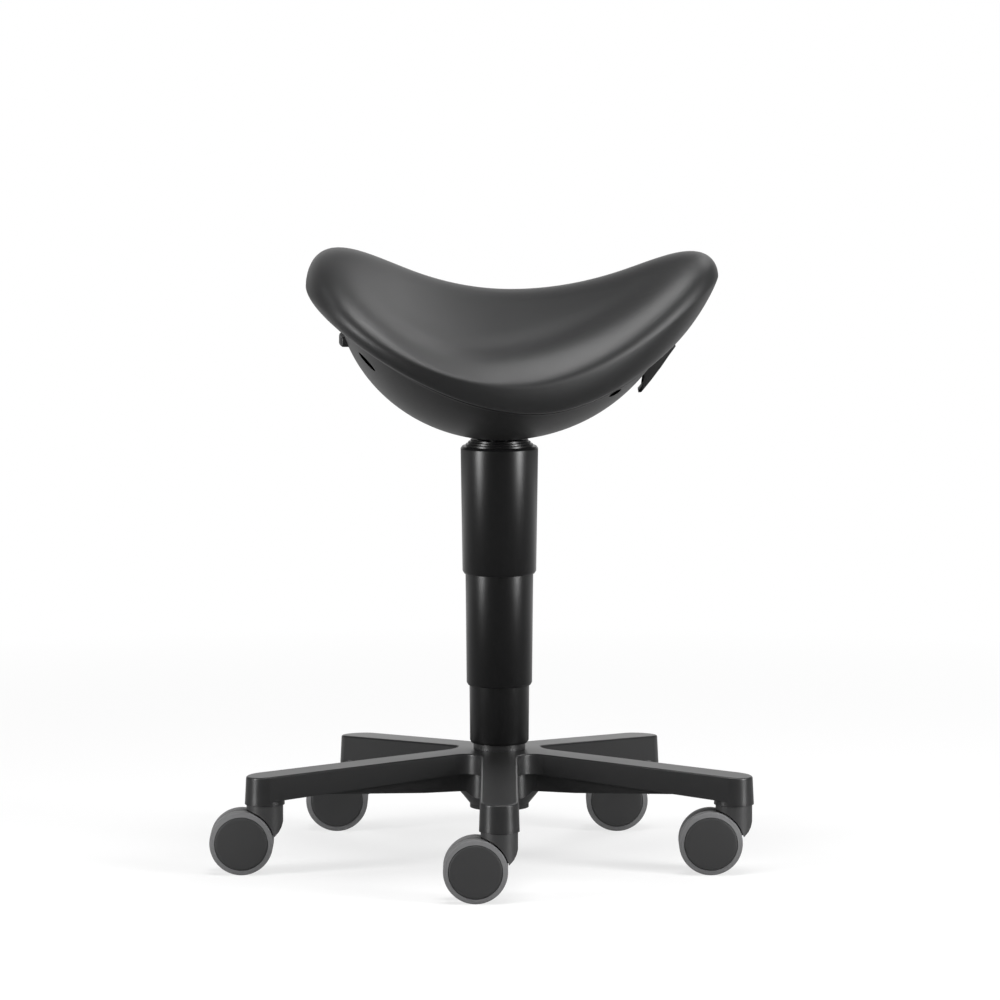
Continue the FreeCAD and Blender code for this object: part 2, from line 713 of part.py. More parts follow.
lower_cover_foot = size.hub_top_height + size.collar_height
lower_cover_top = lower_cover_foot + size.lower_cover_length
lower_flange_top = lower_cover_foot + size.lower_cover_flange
column_clear = size.column_radius + size.running_gap * 2
keep(turned("lower_cover", [
    (column_clear, lower_cover_foot),
    (size.lower_cover_foot_radius - size.cover_bevel, lower_cover_foot),
    (size.lower_cover_foot_radius, lower_cover_foot + size.cover_bevel * 1.8),
    (size.lower_cover_top_radius, lower_cover_top),
    (size.lower_cover_top_radius - size.cover_wall, lower_cover_top),
    (size.lower_cover_foot_radius - size.cover_wall, lower_flange_top),
    (column_clear, lower_flange_top),
]), "lower_cover")

middle_cover_top = size.middle_cover_foot_height + size.middle_cover_length
keep(turned("middle_cover", [
    (size.middle_cover_foot_radius - size.cover_wall, size.middle_cover_foot_height),
    (size.middle_cover_foot_radius - size.cover_bevel, size.middle_cover_foot_height),
    (size.middle_cover_foot_radius, size.middle_cover_foot_height + size.cover_bevel * 1.8),
    (size.middle_cover_top_radius, middle_cover_top),
    (size.middle_cover_top_radius - size.cover_wall, middle_cover_top),
]), "middle_cover")

cap_foot = size.upper_cover_shoulder_height + size.cap_step
cap_radii = [size.cap_step_radius - size.cap_step_inset * step for step in range(3)]
cap_heights = [cap_foot + size.cap_step * step for step in range(3)]
cap_top = size.shell_foot_height
upper_ceiling = cap_foot - size.cap_thickness
cap_bore = size.lift_radius + size.running_gap * 2
keep(turned("upper_cover", [
    (size.upper_cover_foot_radius - size.cover_wall, size.upper_cover_foot_height),
    (size.upper_cover_foot_radius - size.cover_bevel, size.upper_cover_foot_height),
    (size.upper_cover_foot_radius, size.upper_cover_foot_height + size.cover_bevel * 1.8),
    (size.upper_cover_top_radius, size.upper_cover_shoulder_height),
    (size.upper_cover_top_radius - size.cap_step * 0.7, cap_foot),
    (cap_radii[0], cap_heights[0]),
    (cap_radii[0], cap_heights[1]),
    (cap_radii[1], cap_heights[1]),
    (cap_radii[1], cap_heights[2]),
    (cap_radii[2], cap_heights[2]),
    (cap_radii[2], cap_top),
    (size.shell_throat_radius, cap_top),
    (size.shell_throat_radius, cap_foot),
    (cap_bore, cap_foot),
    (cap_bore, upper_ceiling),
    (size.upper_cover_top_radius - size.cover_wall, upper_ceiling),
]), "upper_cover")


# Saddle: formulas for its ridge, widest line and lower border at a place along X

def rise(x, low_x, rear, front, power=2):
    """A sagging line: zero at low_x, and a rise at each end, given as (place, rise)."""
    end, height = rear if x < low_x else front
    share = (x - low_x) / (end - low_x)
    return height * share ** power


def numbers(*names):
    return [float(getattr(size, name)) for name in names]


rear_end, front_end = numbers("seat_rear_reach", "seat_front_reach")
edge_level, edge_rear, edge_front = numbers("edge_height", "edge_rear_height", "edge_front_height")
seam_level, seam_rear, seam_front = numbers("seam_height", "seam_rear_height", "seam_front_height")
seam_rear_end = rear_end - float(size.seam_rear_inset)
seam_front_end = front_end - float(size.seam_front_inset)
wall = float(size.shell_wall)
gap = float(size.seat_gap)


def egg_half_width(x, rear, front, half_width):
    """Half width of an egg-shaped plan with its blunt end at the rear."""
    middle = (front - rear) / 2
    half_length = (front + rear) / 2
    cosine = max(-1.0, min(1.0, (x - middle) / half_length))
    sine = math.sqrt(1 - cosine * cosine)
    return half_width * sine ** float(size.seat_bluntness) * (1 - float(size.seat_egg) * cosine)


def edge_half_width(x):
    return egg_half_width(x, rear_end, front_end, float(size.seat_half_width))


def seam_half_width(x):
    inset_width = float(size.seat_half_width) - float(size.seam_side_inset)
    return egg_half_width(x, seam_rear_end, seam_front_end, inset_width)


def ridge_height(x):
    """The ridge line, with its round drop at both ends."""
    line = float(size.crest_height) + rise(x, float(size.crest_low_reach),
                                           (-rear_end, float(size.crest_rear_rise)),
                                           (front_end, float(size.crest_front_rise)))
    for from_end, edge, length in ((x + rear_end, edge_rear, float(size.rear_rounding)),
                                   (front_end - x, edge_front, float(size.front_rounding))):
        depth = 1 - from_end / length
        if depth > 0:
            kept = 1 - depth ** float(size.end_rounding_power)
            line -= (line - edge) * (1 - math.sqrt(max(0.0, kept)))
    return line


def edge_height(x):
    """The saddle's widest line."""
    return edge_level + rise(x, float(size.edge_low_reach), (-rear_end, edge_rear - edge_level),
                             (front_end, edge_front - edge_level), float(size.edge_sag_power))


def seam_height(x):
    """The cushion's lower border."""
    return seam_level + rise(x, float(size.seam_low_reach), (-seam_rear_end, seam_rear - seam_level),
                             (seam_front_end, seam_front - seam_level), float(size.seam_sag_power))


def belly_height(x):
    """The cushion's lowest line: its border, and beyond the border's ends the round underside."""
    if x < -seam_rear_end:
        share = (-seam_rear_end - x) / float(size.seam_rear_inset)
        return seam_rear + (edge_rear - seam_rear) * share ** 2.2
    if x > seam_front_end:
        share = (x - seam_front_end) / float(size.seam_front_inset)
        return seam_front + (edge_front - seam_front) * share ** 1.15
    return seam_height(x)


def stations(start, end, count):
    """Places along X, closer together towards both ends."""
    middle = (start + end) / 2
    half = (end - start) / 2
    return [middle - half * math.cos(math.pi * step / (count - 1)) for step in range(count)]


def arc(*points):
    return Part.Arc(*[vector(*point) for point in points]).toShape()


def line(start, end):
    return Part.makeLine(vector(*start), vector(*end))


def roof_rise(x):
    """Arch of the cushion's underside over its border, which fades out towards both ends."""
    if not -seam_rear_end < x < seam_front_end:
        return 0.0
    return float(size.pan_rise) * min(1.0, seam_half_width(x) / 60.0)


def cushion_section(x):
    """A closed cross-section: ridge, flank, rolled edge and underside, the same on both sides."""
    half = edge_half_width(x)
    edge = edge_height(x)
    top = ridge_height(x)
    belly = belly_height(x)
    lip = min(float(size.lip_width), half * 0.4)
    fullness = min(1.0, half / 120.0)
    lip_lift = float(size.lip_rise) * fullness + (top - edge) * 0.55 * (1 - fullness)
    lip_top = min(edge + lip_lift, top - 1.0)
    ridge = min(float(size.ridge_half_width), half * 0.35)
    slope = (top - lip_top) / (half - lip)
    seam_half = half * 0.5
    if -seam_rear_end < x < seam_front_end:
        seam_half = max(seam_half_width(x), seam_half)
    right = {
        "ridge": (x, ridge, top - slope * ridge * 0.55),
        "lip": (x, half - lip, lip_top),
        "lip_middle": (x, half - lip * 0.24, edge + (lip_top - edge) * 0.70),
        "edge": (x, half, edge),
        "under_middle": (x, half - (half - seam_half) * 0.22, belly + (edge - belly) * 0.45),
        "seam": (x, seam_half, belly),
    }
    left = {name: (x, -y, z) for name, (x, y, z) in right.items()}
    roof = roof_rise(x)
    underside = belly + roof if roof > 0.5 else belly - 0.4
    return Part.Wire([
        arc(left["ridge"], (x, 0, top), right["ridge"]),
        line(right["ridge"], right["lip"]),
        arc(right["lip"], right["lip_middle"], right["edge"]),
        arc(right["edge"], right["under_middle"], right["seam"]),
        arc(right["seam"], (x, 0, underside), left["seam"]),
        arc(left["seam"], left["under_middle"], left["edge"]),
        arc(left["edge"], left["lip_middle"], left["lip"]),
        line(left["lip"], left["ridge"]),
    ])


def make_cushion():
    places = stations(-rear_end + 1.0, front_end - 1.0, 25)
    return Part.makeLoft([cushion_section(x) for x in places], True, True)


keep(shaped("cushion", make_cushion()), "cushion")


# Seat shell: a bowl from the cushion's border down to the column

def shell_foot(x):
    """The shell's side outline: a quarter ellipse to each end."""
    reach = float(size.shell_front_reach) if x > 0 else float(size.shell_rear_reach)
    depth = float(size.shell_depth)
    share = min(0.9999, abs(x) / reach)
    return float(size.shell_foot_height) + depth * (1 - math.sqrt(1 - share * share))


def shell_section(x, inset, raised):
    """A bowl section drawn in by a wall, closed by a flat lid at or above its rim."""
    half = seam_half_width(x) - inset
    top = seam_height(x) - gap * 2
    foot = min(shell_foot(x) + inset, top - 2.0)
    sides = []
    if raised:
        sides = [line((x, -half, top), (x, -half, top + raised)),
                 line((x, half, top + raised), (x, half, top))]
    return Part.Wire(sides[:1] + [line((x, -half, top + raised), (x, half, top + raised))] + sides[1:]
                     + [arc((x, half, top), (x, 0, foot), (x, -half, top))])


def bowl(inset, raised):
    """The shell as a full solid, drawn in by a wall and raised above its rim."""
    places = stations(-shell_rear_end + inset, shell_front_end - inset, 25)
    return Part.makeLoft([shell_section(x, inset, raised) for x in places], True, True)


def shell_end(reach_name, border_end):
    """Where the side outline climbs to the border."""
    reach = float(getattr(size, reach_name))
    sign = 1 if reach_name == "shell_front_reach" else -1
    x = 0.0
    limit = min(reach, border_end) - 1.0
    while x < limit and shell_foot(sign * x) < seam_height(sign * x) - gap - 3.0:
        x += 0.5
    return x


shell_rear_end = shell_end("shell_rear_reach", seam_rear_end)
shell_front_end = shell_end("shell_front_reach", seam_front_end)


vents = []
for side in (-1, 1):
    for end, reach, height, length, lean in (
            (-1, size.vent_rear_reach, size.vent_rear_height, size.vent_length, 46.0),
            (1, size.vent_front_reach, size.vent_front_height, size.vent_front_length, -28.0)):
        vent_name = "vent_%s_%s" % ("front" if end > 0 else "rear", "right" if side < 0 else "left")
        turn = FreeCAD.Rotation(FreeCAD.Vector(0, 1, 0), lean)
        middle = turn.multVec(vector(length / 2, 0, size.vent_width / 2))
        vent = box(vent_name, (zero, zero, zero), (length, size.vent_side_reach * 0.7, size.vent_width))
        place(vent, reach * end - middle.x,
              size.vent_side_reach * side - size.vent_side_reach * 0.35, height - middle.z, turn)
        vents.append(vent)

throat = cylinder("shell_throat", size.shell_throat_radius, size.shell_wall * 6,
                  z=size.shell_foot_height - size.shell_wall)
lever_slot_foot = bar_foot - size.lever_play
lever_slot = box("lever_slot",
                 (size.lever_slot_start, -size.lever_half_width - size.lever_play, lever_slot_foot),
                 (size.paddle_root_reach, size.lever_half_width + size.lever_play,
                  lever_slot_foot + size.lever_slot_height))
paddle_recess_half = size.paddle_half_width + size.lever_play
paddle_recess = box("paddle_recess",
                    (size.paddle_foot_reach - size.lever_play, -paddle_recess_half,
                     size.paddle_foot_height + size.lever_play),
                    (size.paddle_root_reach, paddle_recess_half,
                     size.paddle_root_height + size.paddle_mouth_height))
raised_lid = 30.0
shell_blank = shaped("shell_blank", bowl(0.0, 0.0).cut(bowl(wall, raised_lid)))
keep(cut("seat_shell", shell_blank, [throat, lever_slot, paddle_recess] + vents), "seat_shell")


# Seat pan: a thin arched plate under the cushion, with bosses for the bracket's screws

def pan_section(x):
    """The plate follows the arch of the cushion's underside, a gap below it."""
    border = seam_half_width(x)
    half = border - float(size.pan_side_inset)
    radius = (border * border + roof_rise(x) ** 2) / (2 * roof_rise(x))
    sag = radius - math.sqrt(radius * radius - half * half)
    top = seam_height(x) + roof_rise(x) - gap * 5
    foot = top - float(size.pan_thickness)
    return Part.Wire([
        arc((x, -half, top - sag), (x, 0, top), (x, half, top - sag)),
        line((x, half, top - sag), (x, half, foot - sag)),
        arc((x, half, foot - sag), (x, 0, foot), (x, -half, foot - sag)),
        line((x, -half, foot - sag), (x, -half, top - sag)),
    ])


def make_pan():
    rear = float(size.pan_rear_reach)
    front = float(size.pan_front_reach)
    plate = Part.makeLoft([pan_section(x) for x in stations(-rear, front, 11)], True, True)
    screw_x, screw_y = numbers("bracket_screw_x", "bracket_screw_y")
    boss_foot = float(bracket_top)
    bosses = []
    holes = []
    for x in (-screw_x, screw_x):
        for y in (-screw_y, screw_y):
            length = seam_height(x) + roof_rise(x) - float(size.pan_thickness) - boss_foot
            foot = vector(x, y, boss_foot)
            bosses.append(Part.makeCylinder(float(size.pan_boss_radius), length, foot))
            holes.append(Part.makeCylinder(float(size.bracket_screw_radius), length - 1.0, foot))
    return plate.fuse(bosses).cut(holes)


keep(shaped("seat_pan", make_pan()), "seat_pan")


# Seat bracket: a folded steel box with the socket for the gas lift

bracket_roof_foot = bracket_top - size.bracket_plate
bracket_floor = bracket_top - size.bracket_depth
cheek_outside = size.cheek_half_gap + size.cheek_thickness
roof_plate = box("bracket_roof",
                 (-size.bracket_rear_reach, -size.bracket_half_width, bracket_roof_foot),
                 (size.bracket_front_reach, size.bracket_half_width, bracket_top))
floor_plate = box("bracket_floor",
                  (-size.cheek_rear_reach, -cheek_outside - size.bracket_flange,
                   bracket_floor),
                  (size.cheek_front_reach, cheek_outside + size.bracket_flange,
                   bracket_floor + size.bracket_plate))
cheeks = [
    box("bracket_cheek_%s" % side,
        (-size.cheek_rear_reach, start, bracket_floor),
        (size.cheek_front_reach, start + size.cheek_thickness, bracket_roof_foot + 1.0))
    for side, start in (("left", size.cheek_half_gap), ("right", -cheek_outside))
]
socket_foot = lift_cone_foot + size.seat_gap
socket_boss = cylinder("bracket_socket", size.socket_boss_radius,
                       lift_top - socket_foot, z=socket_foot)
bracket_blank = fused("bracket_blank", [roof_plate, floor_plate, socket_boss] + cheeks)
cone_bore = cone("bracket_cone", size.lift_radius, lift_tip_radius, size.lift_cone_length,
                 z=lift_cone_foot)
pin_bore = cylinder("bracket_pin_bore", size.lever_pin_radius, cheek_outside * 4,
                    x=size.lever_pivot_reach, y=cheek_outside * -2, z=pivot_height,
                    along_y=True)
screw_places = [(size.bracket_screw_x * x, size.bracket_screw_y * y) for x in (-1, 1) for y in (-1, 1)]
screw_bores = [
    cylinder("bracket_screw_bore%d" % (index + 1), size.bracket_screw_radius, size.bracket_plate * 3,
             x=x, y=y, z=bracket_roof_foot - size.bracket_plate)
    for index, (x, y) in enumerate(screw_places)
]
keep(cut("seat_bracket", bracket_blank, [cone_bore, pin_bore] + screw_bores), "seat_bracket")

screws = []
for screw_index, (x, y) in enumerate(screw_places):
    name = "bracket_screw%d" % (screw_index + 1)
    shank = cylinder(name + "_shank", size.bracket_screw_radius,
                     size.bracket_plate + size.bracket_screw_head_height, x=x, y=y, z=bracket_roof_foot)
    head = cylinder(name + "_head", size.bracket_screw_head, size.bracket_screw_head_height,
                    x=x, y=y, z=bracket_roof_foot - size.bracket_screw_head_height)
    screws.append(fused(name, [shank, head]))
keep(group("bracket_screws", screws), "bracket_screws")

keep(cylinder("lever_pin", size.lever_pin_radius, cheek_outside * 2, x=size.lever_pivot_reach,
              y=-cheek_outside, z=pivot_height, along_y=True), "lever_pin")


# Release lever: a bar from the valve button to a scoop-shaped paddle under the saddle's front

bar = box("lever_bar", (-size.lever_tail, -size.lever_half_width, bar_foot),
          (size.paddle_foot_reach + 1.5, size.lever_half_width, bar_foot + size.lever_thickness))
eye = cylinder("lever_eye", size.lever_eye_radius, size.lever_half_width * 2,
               x=size.lever_pivot_reach, y=-size.lever_half_width, z=pivot_height,
               along_y=True)
paddle_mouth = size.paddle_foot_height + size.paddle_mouth_height
paddle_block = side_prism("paddle_block", [
    (size.paddle_foot_reach, size.paddle_foot_height),
    (size.paddle_root_reach, size.paddle_root_height),
    (size.paddle_root_reach - size.paddle_wall, size.paddle_root_height + 1.0),
    (size.paddle_foot_reach + 3.5, paddle_mouth),
], size.paddle_half_width)
hollow_start = size.paddle_foot_reach - size.paddle_mouth_height
hollow_top = size.paddle_root_height + size.paddle_mouth_height
paddle_back = size.paddle_wall * 1.2
paddle_hollow = side_prism("paddle_hollow", [
    (hollow_start, size.paddle_foot_height - size.paddle_wall),
    (size.paddle_foot_reach - paddle_back, size.paddle_foot_height),
    (size.paddle_root_reach - paddle_back, size.paddle_root_height),
    (size.paddle_root_reach - paddle_back, hollow_top),
    (hollow_start, hollow_top),
], size.paddle_half_width - size.paddle_wall)
paddle = cut("paddle", paddle_block, [paddle_hollow])
lever_blank = fused("lever_blank", [bar, eye, paddle])
lever_bore = cylinder("lever_bore", size.lever_pin_radius + size.running_gap, size.lever_half_width * 4,
                      x=size.lever_pivot_reach, y=size.lever_half_width * -2,
                      z=pivot_height, along_y=True)
keep(cut("height_lever", lever_blank, [lever_bore]), "height_lever")

# Rear grip: a lug across the shell under the saddle's rear end

grip_block = box("grip_block", (-size.grip_reach, -size.grip_half_width, size.grip_foot_height),
                 (-size.grip_reach + size.grip_length, size.grip_half_width,
                  size.grip_foot_height + size.grip_height))
grip_seat = shaped("grip_seat", bowl(0.0, raised_lid))
keep(cut("rear_grip", grip_block, [grip_seat]), "rear_grip")


# Castors: each has a hooded housing, a stem, an axle and two wheels with treads

axle_height = size.wheel_radius
wheel_inner = size.wheel_spacing / 2
wheel_outer = wheel_inner + size.wheel_width
axle_half_length = wheel_outer - size.axle_end_inset
tread_seat = size.wheel_radius - size.tread_depth
across_right = FreeCAD.Rotation(FreeCAD.Vector(1, 0, 0), 90)
across_left = FreeCAD.Rotation(FreeCAD.Vector(1, 0, 0), -90)


def castor_housing(name):
    """A round hood with a pocket for each wheel, and a plate that carries the axle."""
    boss = size.axle_boss_radius
    outside = size.housing_radius + size.wheel_clearance
    tip = size.housing_tip_height
    curve = size.housing_shoulder_height - tip
    hood_side = side_prism(name + "_hood_side", [
        (-outside, size.housing_top_height + size.wheel_clearance),
        (outside, size.housing_top_height + size.wheel_clearance),
        (outside, size.housing_shoulder_height),
        (size.housing_radius - 0.2, size.housing_shoulder_height - curve * 0.1),
        (size.housing_radius - 1.4, tip + curve * 0.62),
        (size.housing_radius - 4.0, tip + curve * 0.31),
        (size.housing_tip_reach, tip),
        (-outside, tip),
    ], outside)
    hood = common(name + "_hood", hood_side,
                  cylinder(name + "_hood_round", size.housing_radius, size.housing_top_height))
    pocket_start = wheel_inner - size.seat_gap
    pockets = [
        cylinder(name + "_pocket_" + side, size.wheel_radius + size.wheel_clearance,
                 size.housing_radius, x=-size.castor_trail, y=start, z=axle_height, along_y=True)
        for side, start in (("left", pocket_start), ("right", -pocket_start - size.housing_radius))
    ]
    hood = cut(name + "_hood_cut", hood, pockets)
    web = side_prism(name + "_web", [
        (-size.housing_radius * 0.7, size.housing_top_height - size.stem_root),
        (size.housing_radius * 0.3, size.housing_top_height - size.stem_root),
        (size.housing_radius * 0.3, tip + curve * 0.2),
        (-size.castor_trail, axle_height - boss * 0.8),
        (-size.castor_trail - boss * 0.8, axle_height),
    ], size.housing_web / 2)
    boss_half = wheel_inner - size.seat_gap / 2
    boss_round = cylinder(name + "_boss", boss, boss_half * 2, x=-size.castor_trail, y=-boss_half,
                          z=axle_height, along_y=True)
    blank = fused(name + "_blank", [hood, web, boss_round])
    axle_bore = cylinder(name + "_axle_bore", size.axle_radius, size.housing_web * 2,
                         x=-size.castor_trail, y=-size.housing_web, z=axle_height, along_y=True)
    stem_bore = cylinder(name + "_stem_bore", size.stem_radius, size.stem_root * 2,
                         z=size.housing_top_height - size.stem_root)
    return cut(name, blank, [axle_bore, stem_bore])


def castor_stem(name):
    foot = size.housing_top_height - size.stem_root
    top = size.housing_top_height + size.stem_length
    return turned(name, [
        (zero, foot),
        (size.stem_radius, foot),
        (size.stem_radius, top - size.stem_bevel),
        (size.stem_radius - size.stem_bevel, top),
        (zero, top),
    ])


def castor_axle(name):
    return cylinder(name, size.axle_radius, axle_half_length * 2, x=-size.castor_trail,
                    y=-axle_half_length, z=axle_height, along_y=True)


def castor_wheel(name):
    """Hub, web and rim in one, with a domed disc on the outside. Local Z points outwards."""
    bore = size.axle_radius + size.running_gap
    hub = size.axle_radius + size.wheel_web
    rim = tread_seat - size.wheel_web
    disc_edge = wheel_outer - size.disc_dome * 1.6
    return turned(name, [
        (bore, wheel_inner),
        (hub, wheel_inner),
        (hub, wheel_inner + size.wheel_width * 0.4),
        (rim, wheel_inner + size.wheel_width * 0.4),
        (rim, wheel_inner + size.rim_inset),
        (tread_seat, wheel_inner + size.rim_inset),
        (tread_seat, disc_edge),
        (tread_seat - size.disc_groove, disc_edge),
        (tread_seat - size.disc_groove, wheel_outer - size.disc_dome),
        (tread_seat * 0.6, wheel_outer - size.disc_dome * 0.35),
        (zero, wheel_outer),
        (zero, axle_half_length + size.axle_end_play),
        (bore, axle_half_length + size.axle_end_play),
    ])


def castor_tread(name):
    shoulder = size.tread_shoulder
    face = wheel_outer - size.disc_dome * 1.4
    return turned(name, [
        (tread_seat, wheel_inner + size.tread_inset),
        (size.wheel_radius, wheel_inner + size.tread_inset, shoulder),
        (size.wheel_radius, face - size.tread_inset * 3, shoulder),
        (tread_seat, face),
    ])


for leg_index in range(leg_count):
    castor = "castor_%d_" % (leg_index + 1)
    stem_x = size.castor_circle_radius * math.cos(leg_angle(leg_index))
    stem_y = size.castor_circle_radius * math.sin(leg_angle(leg_index))
    keep(place(castor_housing(castor + "housing"), stem_x, stem_y), castor + "housing")
    keep(place(castor_stem(castor + "stem"), stem_x, stem_y), castor + "stem")
    axle = castor_axle(castor + "axle")
    place(axle, stem_x - size.castor_trail, stem_y - axle_half_length, axle_height, across_left)
    keep(axle, castor + "axle")
    for side, turn in (("right", across_right), ("left", across_left)):
        for maker, kind in ((castor_wheel, "wheel"), (castor_tread, "tread")):
            piece = maker(castor + side + "_" + kind)
            place(piece, stem_x - size.castor_trail, stem_y, axle_height, turn)
            keep(piece, castor + side + "_" + kind)


# Check every object, then write one file for each node

doc.recompute()
for item in doc.Objects:
    faults = [state for state in item.State if state in ("Invalid", "Error")]
    if faults:
        raise RuntimeError(item.Name + " is " + faults[0])
for piece in nodes:
    if piece.Shape.isNull() or not piece.Shape.isValid() or not piece.Shape.Solids:
        raise RuntimeError(piece.Label + " has no valid shape")

os.makedirs("parts", exist_ok=True)
for piece in nodes:
    piece.Shape.exportStep("parts/" + piece.Label + ".step")
    solid_count = len(piece.Shape.Solids)
    print("%-24s %2d solids %12.1f mm3" % (piece.Label, solid_count, piece.Shape.Volume))
print(len(nodes), "nodes written")
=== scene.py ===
import json
import math

import bmesh
import bpy
from mathutils import Matrix, Vector


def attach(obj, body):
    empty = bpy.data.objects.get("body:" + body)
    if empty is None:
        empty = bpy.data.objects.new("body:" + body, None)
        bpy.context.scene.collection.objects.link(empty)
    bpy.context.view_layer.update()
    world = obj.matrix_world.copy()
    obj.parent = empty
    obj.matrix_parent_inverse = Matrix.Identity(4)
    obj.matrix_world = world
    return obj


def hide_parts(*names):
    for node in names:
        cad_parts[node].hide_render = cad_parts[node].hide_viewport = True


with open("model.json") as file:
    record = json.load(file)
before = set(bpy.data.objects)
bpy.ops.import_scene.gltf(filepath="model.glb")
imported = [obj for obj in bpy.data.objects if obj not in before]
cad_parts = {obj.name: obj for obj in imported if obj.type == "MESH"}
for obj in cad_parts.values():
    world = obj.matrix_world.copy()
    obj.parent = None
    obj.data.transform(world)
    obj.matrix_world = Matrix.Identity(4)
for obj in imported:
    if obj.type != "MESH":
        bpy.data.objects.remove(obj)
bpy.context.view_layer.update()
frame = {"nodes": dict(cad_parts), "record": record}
cadNodes = frame["nodes"]
print("frame loaded:", len(cadNodes), "nodes")


# Shader groups that several finishes share

surfaceDetail = {
    "cellSmoothness": 0.6, "grainDetail": 3.0,
    "toneScale": 7.0, "toneDetail": 4.0,            # slow change of colour over the surface
    "patchDetail": 5.0, "patchRoughness": 0.6,
    "levelPower": 6.0,                              # how level a face has to be to gather dust
    "speckScale": 260.0, "speckDetail": 2.0,
}


def newGroup(name, inputs, outputs):
    # inputs are (name, kind, value), outputs are (name, kind)
    tree = bpy.data.node_groups.new(name, "ShaderNodeTree")
    for socketName, kind, value in inputs:
        socket = tree.interface.new_socket(socketName, in_out="INPUT", socket_type=kind)
        if value is not None:
            socket.default_value = value
    for socketName, kind in outputs:
        tree.interface.new_socket(socketName, in_out="OUTPUT", socket_type=kind)
    return tree, tree.nodes.new("NodeGroupInput"), tree.nodes.new("NodeGroupOutput")


def mathNode(tree, operation, first, second):
    node = tree.nodes.new("ShaderNodeMath")
    node.operation = operation
    for socket, value in zip(node.inputs, (first, second)):
        if isinstance(value, (int, float)):
            socket.default_value = value
        else:
            tree.links.new(value, socket)
    return node.outputs[0]


def noiseNode(tree, vector, scale, detail, roughness=0.5):
    node = tree.nodes.new("ShaderNodeTexNoise")
    node.inputs["Detail"].default_value = detail
    node.inputs["Roughness"].default_value = roughness
    tree.links.new(vector, node.inputs["Vector"])
    if isinstance(scale, (int, float)):
        node.inputs["Scale"].default_value = scale
    else:
        tree.links.new(scale, node.inputs["Scale"])
    return node.outputs["Fac"]


def rangeNode(tree, value, fromEnds, toEnds, interpolation="LINEAR"):
    node = tree.nodes.new("ShaderNodeMapRange")
    node.interpolation_type = interpolation
    for name, number in zip(("From Min", "From Max", "To Min", "To Max"), (*fromEnds, *toEnds)):
        node.inputs[name].default_value = number
    tree.links.new(value, node.inputs["Value"])
    return node.outputs["Result"]


def splitNode(tree, vector):
    node = tree.nodes.new("ShaderNodeSeparateXYZ")
    tree.links.new(vector, node.inputs[0])
    return node.outputs


def colorMix(tree, factor, first, second):
    # each of the two is a colour or a socket that gives one
    node = tree.nodes.new("ShaderNodeMix")
    node.data_type = "RGBA"
    tree.links.new(factor, node.inputs["Factor"])
    for name, value in (("A", first), ("B", second)):
        if isinstance(value, tuple):
            node.inputs[name].default_value = (*value, 1)
        else:
            tree.links.new(value, node.inputs[name])
    return node.outputs["Result"]


def shaderMix(tree, share, first, second):
    node = tree.nodes.new("ShaderNodeMixShader")
    for socket, value in zip(node.inputs, (share, first, second)):
        tree.links.new(value, socket)
    return node.outputs["Shader"]


def buildGrainGroup():
    # pebbled grain of moulded plastic and synthetic leather: cells broken up by noise
    tree, inside, outside = newGroup(
        "pebbleGrain",
        [("Vector", "NodeSocketVector", None), ("Scale", "NodeSocketFloat", 900.0),
         ("Softness", "NodeSocketFloat", 0.5)],
        [("Height", "NodeSocketFloat"), ("Tone", "NodeSocketFloat")])
    cells = tree.nodes.new("ShaderNodeTexVoronoi")
    cells.feature = "SMOOTH_F1"
    cells.inputs["Smoothness"].default_value = surfaceDetail["cellSmoothness"]
    tree.links.new(inside.outputs["Vector"], cells.inputs["Vector"])
    tree.links.new(inside.outputs["Scale"], cells.inputs["Scale"])
    fine = noiseNode(tree, inside.outputs["Vector"], inside.outputs["Scale"], surfaceDetail["grainDetail"])
    mix = tree.nodes.new("ShaderNodeMix")
    tree.links.new(inside.outputs["Softness"], mix.inputs["Factor"])
    tree.links.new(cells.outputs["Distance"], mix.inputs["A"])
    tree.links.new(fine, mix.inputs["B"])
    tree.links.new(mix.outputs["Result"], outside.inputs["Height"])
    slow = noiseNode(tree, inside.outputs["Vector"], surfaceDetail["toneScale"], surfaceDetail["toneDetail"])
    tree.links.new(slow, outside.inputs["Tone"])
    return tree


def buildHandlingGroup():
    # places where hands and cloth have polished or dulled the surface, and dust on level faces
    tree, inside, outside = newGroup(
        "handling",
        [("Vector", "NodeSocketVector", None), ("Patch Scale", "NodeSocketFloat", 14.0),
         ("Roughness", "NodeSocketFloat", 0.5), ("Variation", "NodeSocketFloat", 0.08)],
        [("Roughness", "NodeSocketFloat"), ("Dust", "NodeSocketFloat")])
    patch = noiseNode(tree, inside.outputs["Vector"], inside.outputs["Patch Scale"],
                      surfaceDetail["patchDetail"], surfaceDetail["patchRoughness"])
    centred = mathNode(tree, "SUBTRACT", patch, 0.5)
    change = mathNode(tree, "MULTIPLY", centred, inside.outputs["Variation"])
    uneven = mathNode(tree, "ADD", change, inside.outputs["Roughness"])
    tree.links.new(uneven, outside.inputs["Roughness"])
    normal = tree.nodes.new("ShaderNodeNewGeometry").outputs["Normal"]
    upward = mathNode(tree, "MAXIMUM", splitNode(tree, normal)["Z"], 0.0)
    level = mathNode(tree, "POWER", upward, surfaceDetail["levelPower"])
    specks = noiseNode(tree, inside.outputs["Vector"], surfaceDetail["speckScale"],
                       surfaceDetail["speckDetail"])
    tree.links.new(mathNode(tree, "MULTIPLY", level, specks), outside.inputs["Dust"])
    return tree


grainGroup = buildGrainGroup()
handlingGroup = buildHandlingGroup()


def addGroupNode(tree, group, **values):
    node = tree.nodes.new("ShaderNodeGroup")
    node.node_tree = group
    for name, value in values.items():
        node.inputs[name.replace("_", " ")].default_value = value
    return node


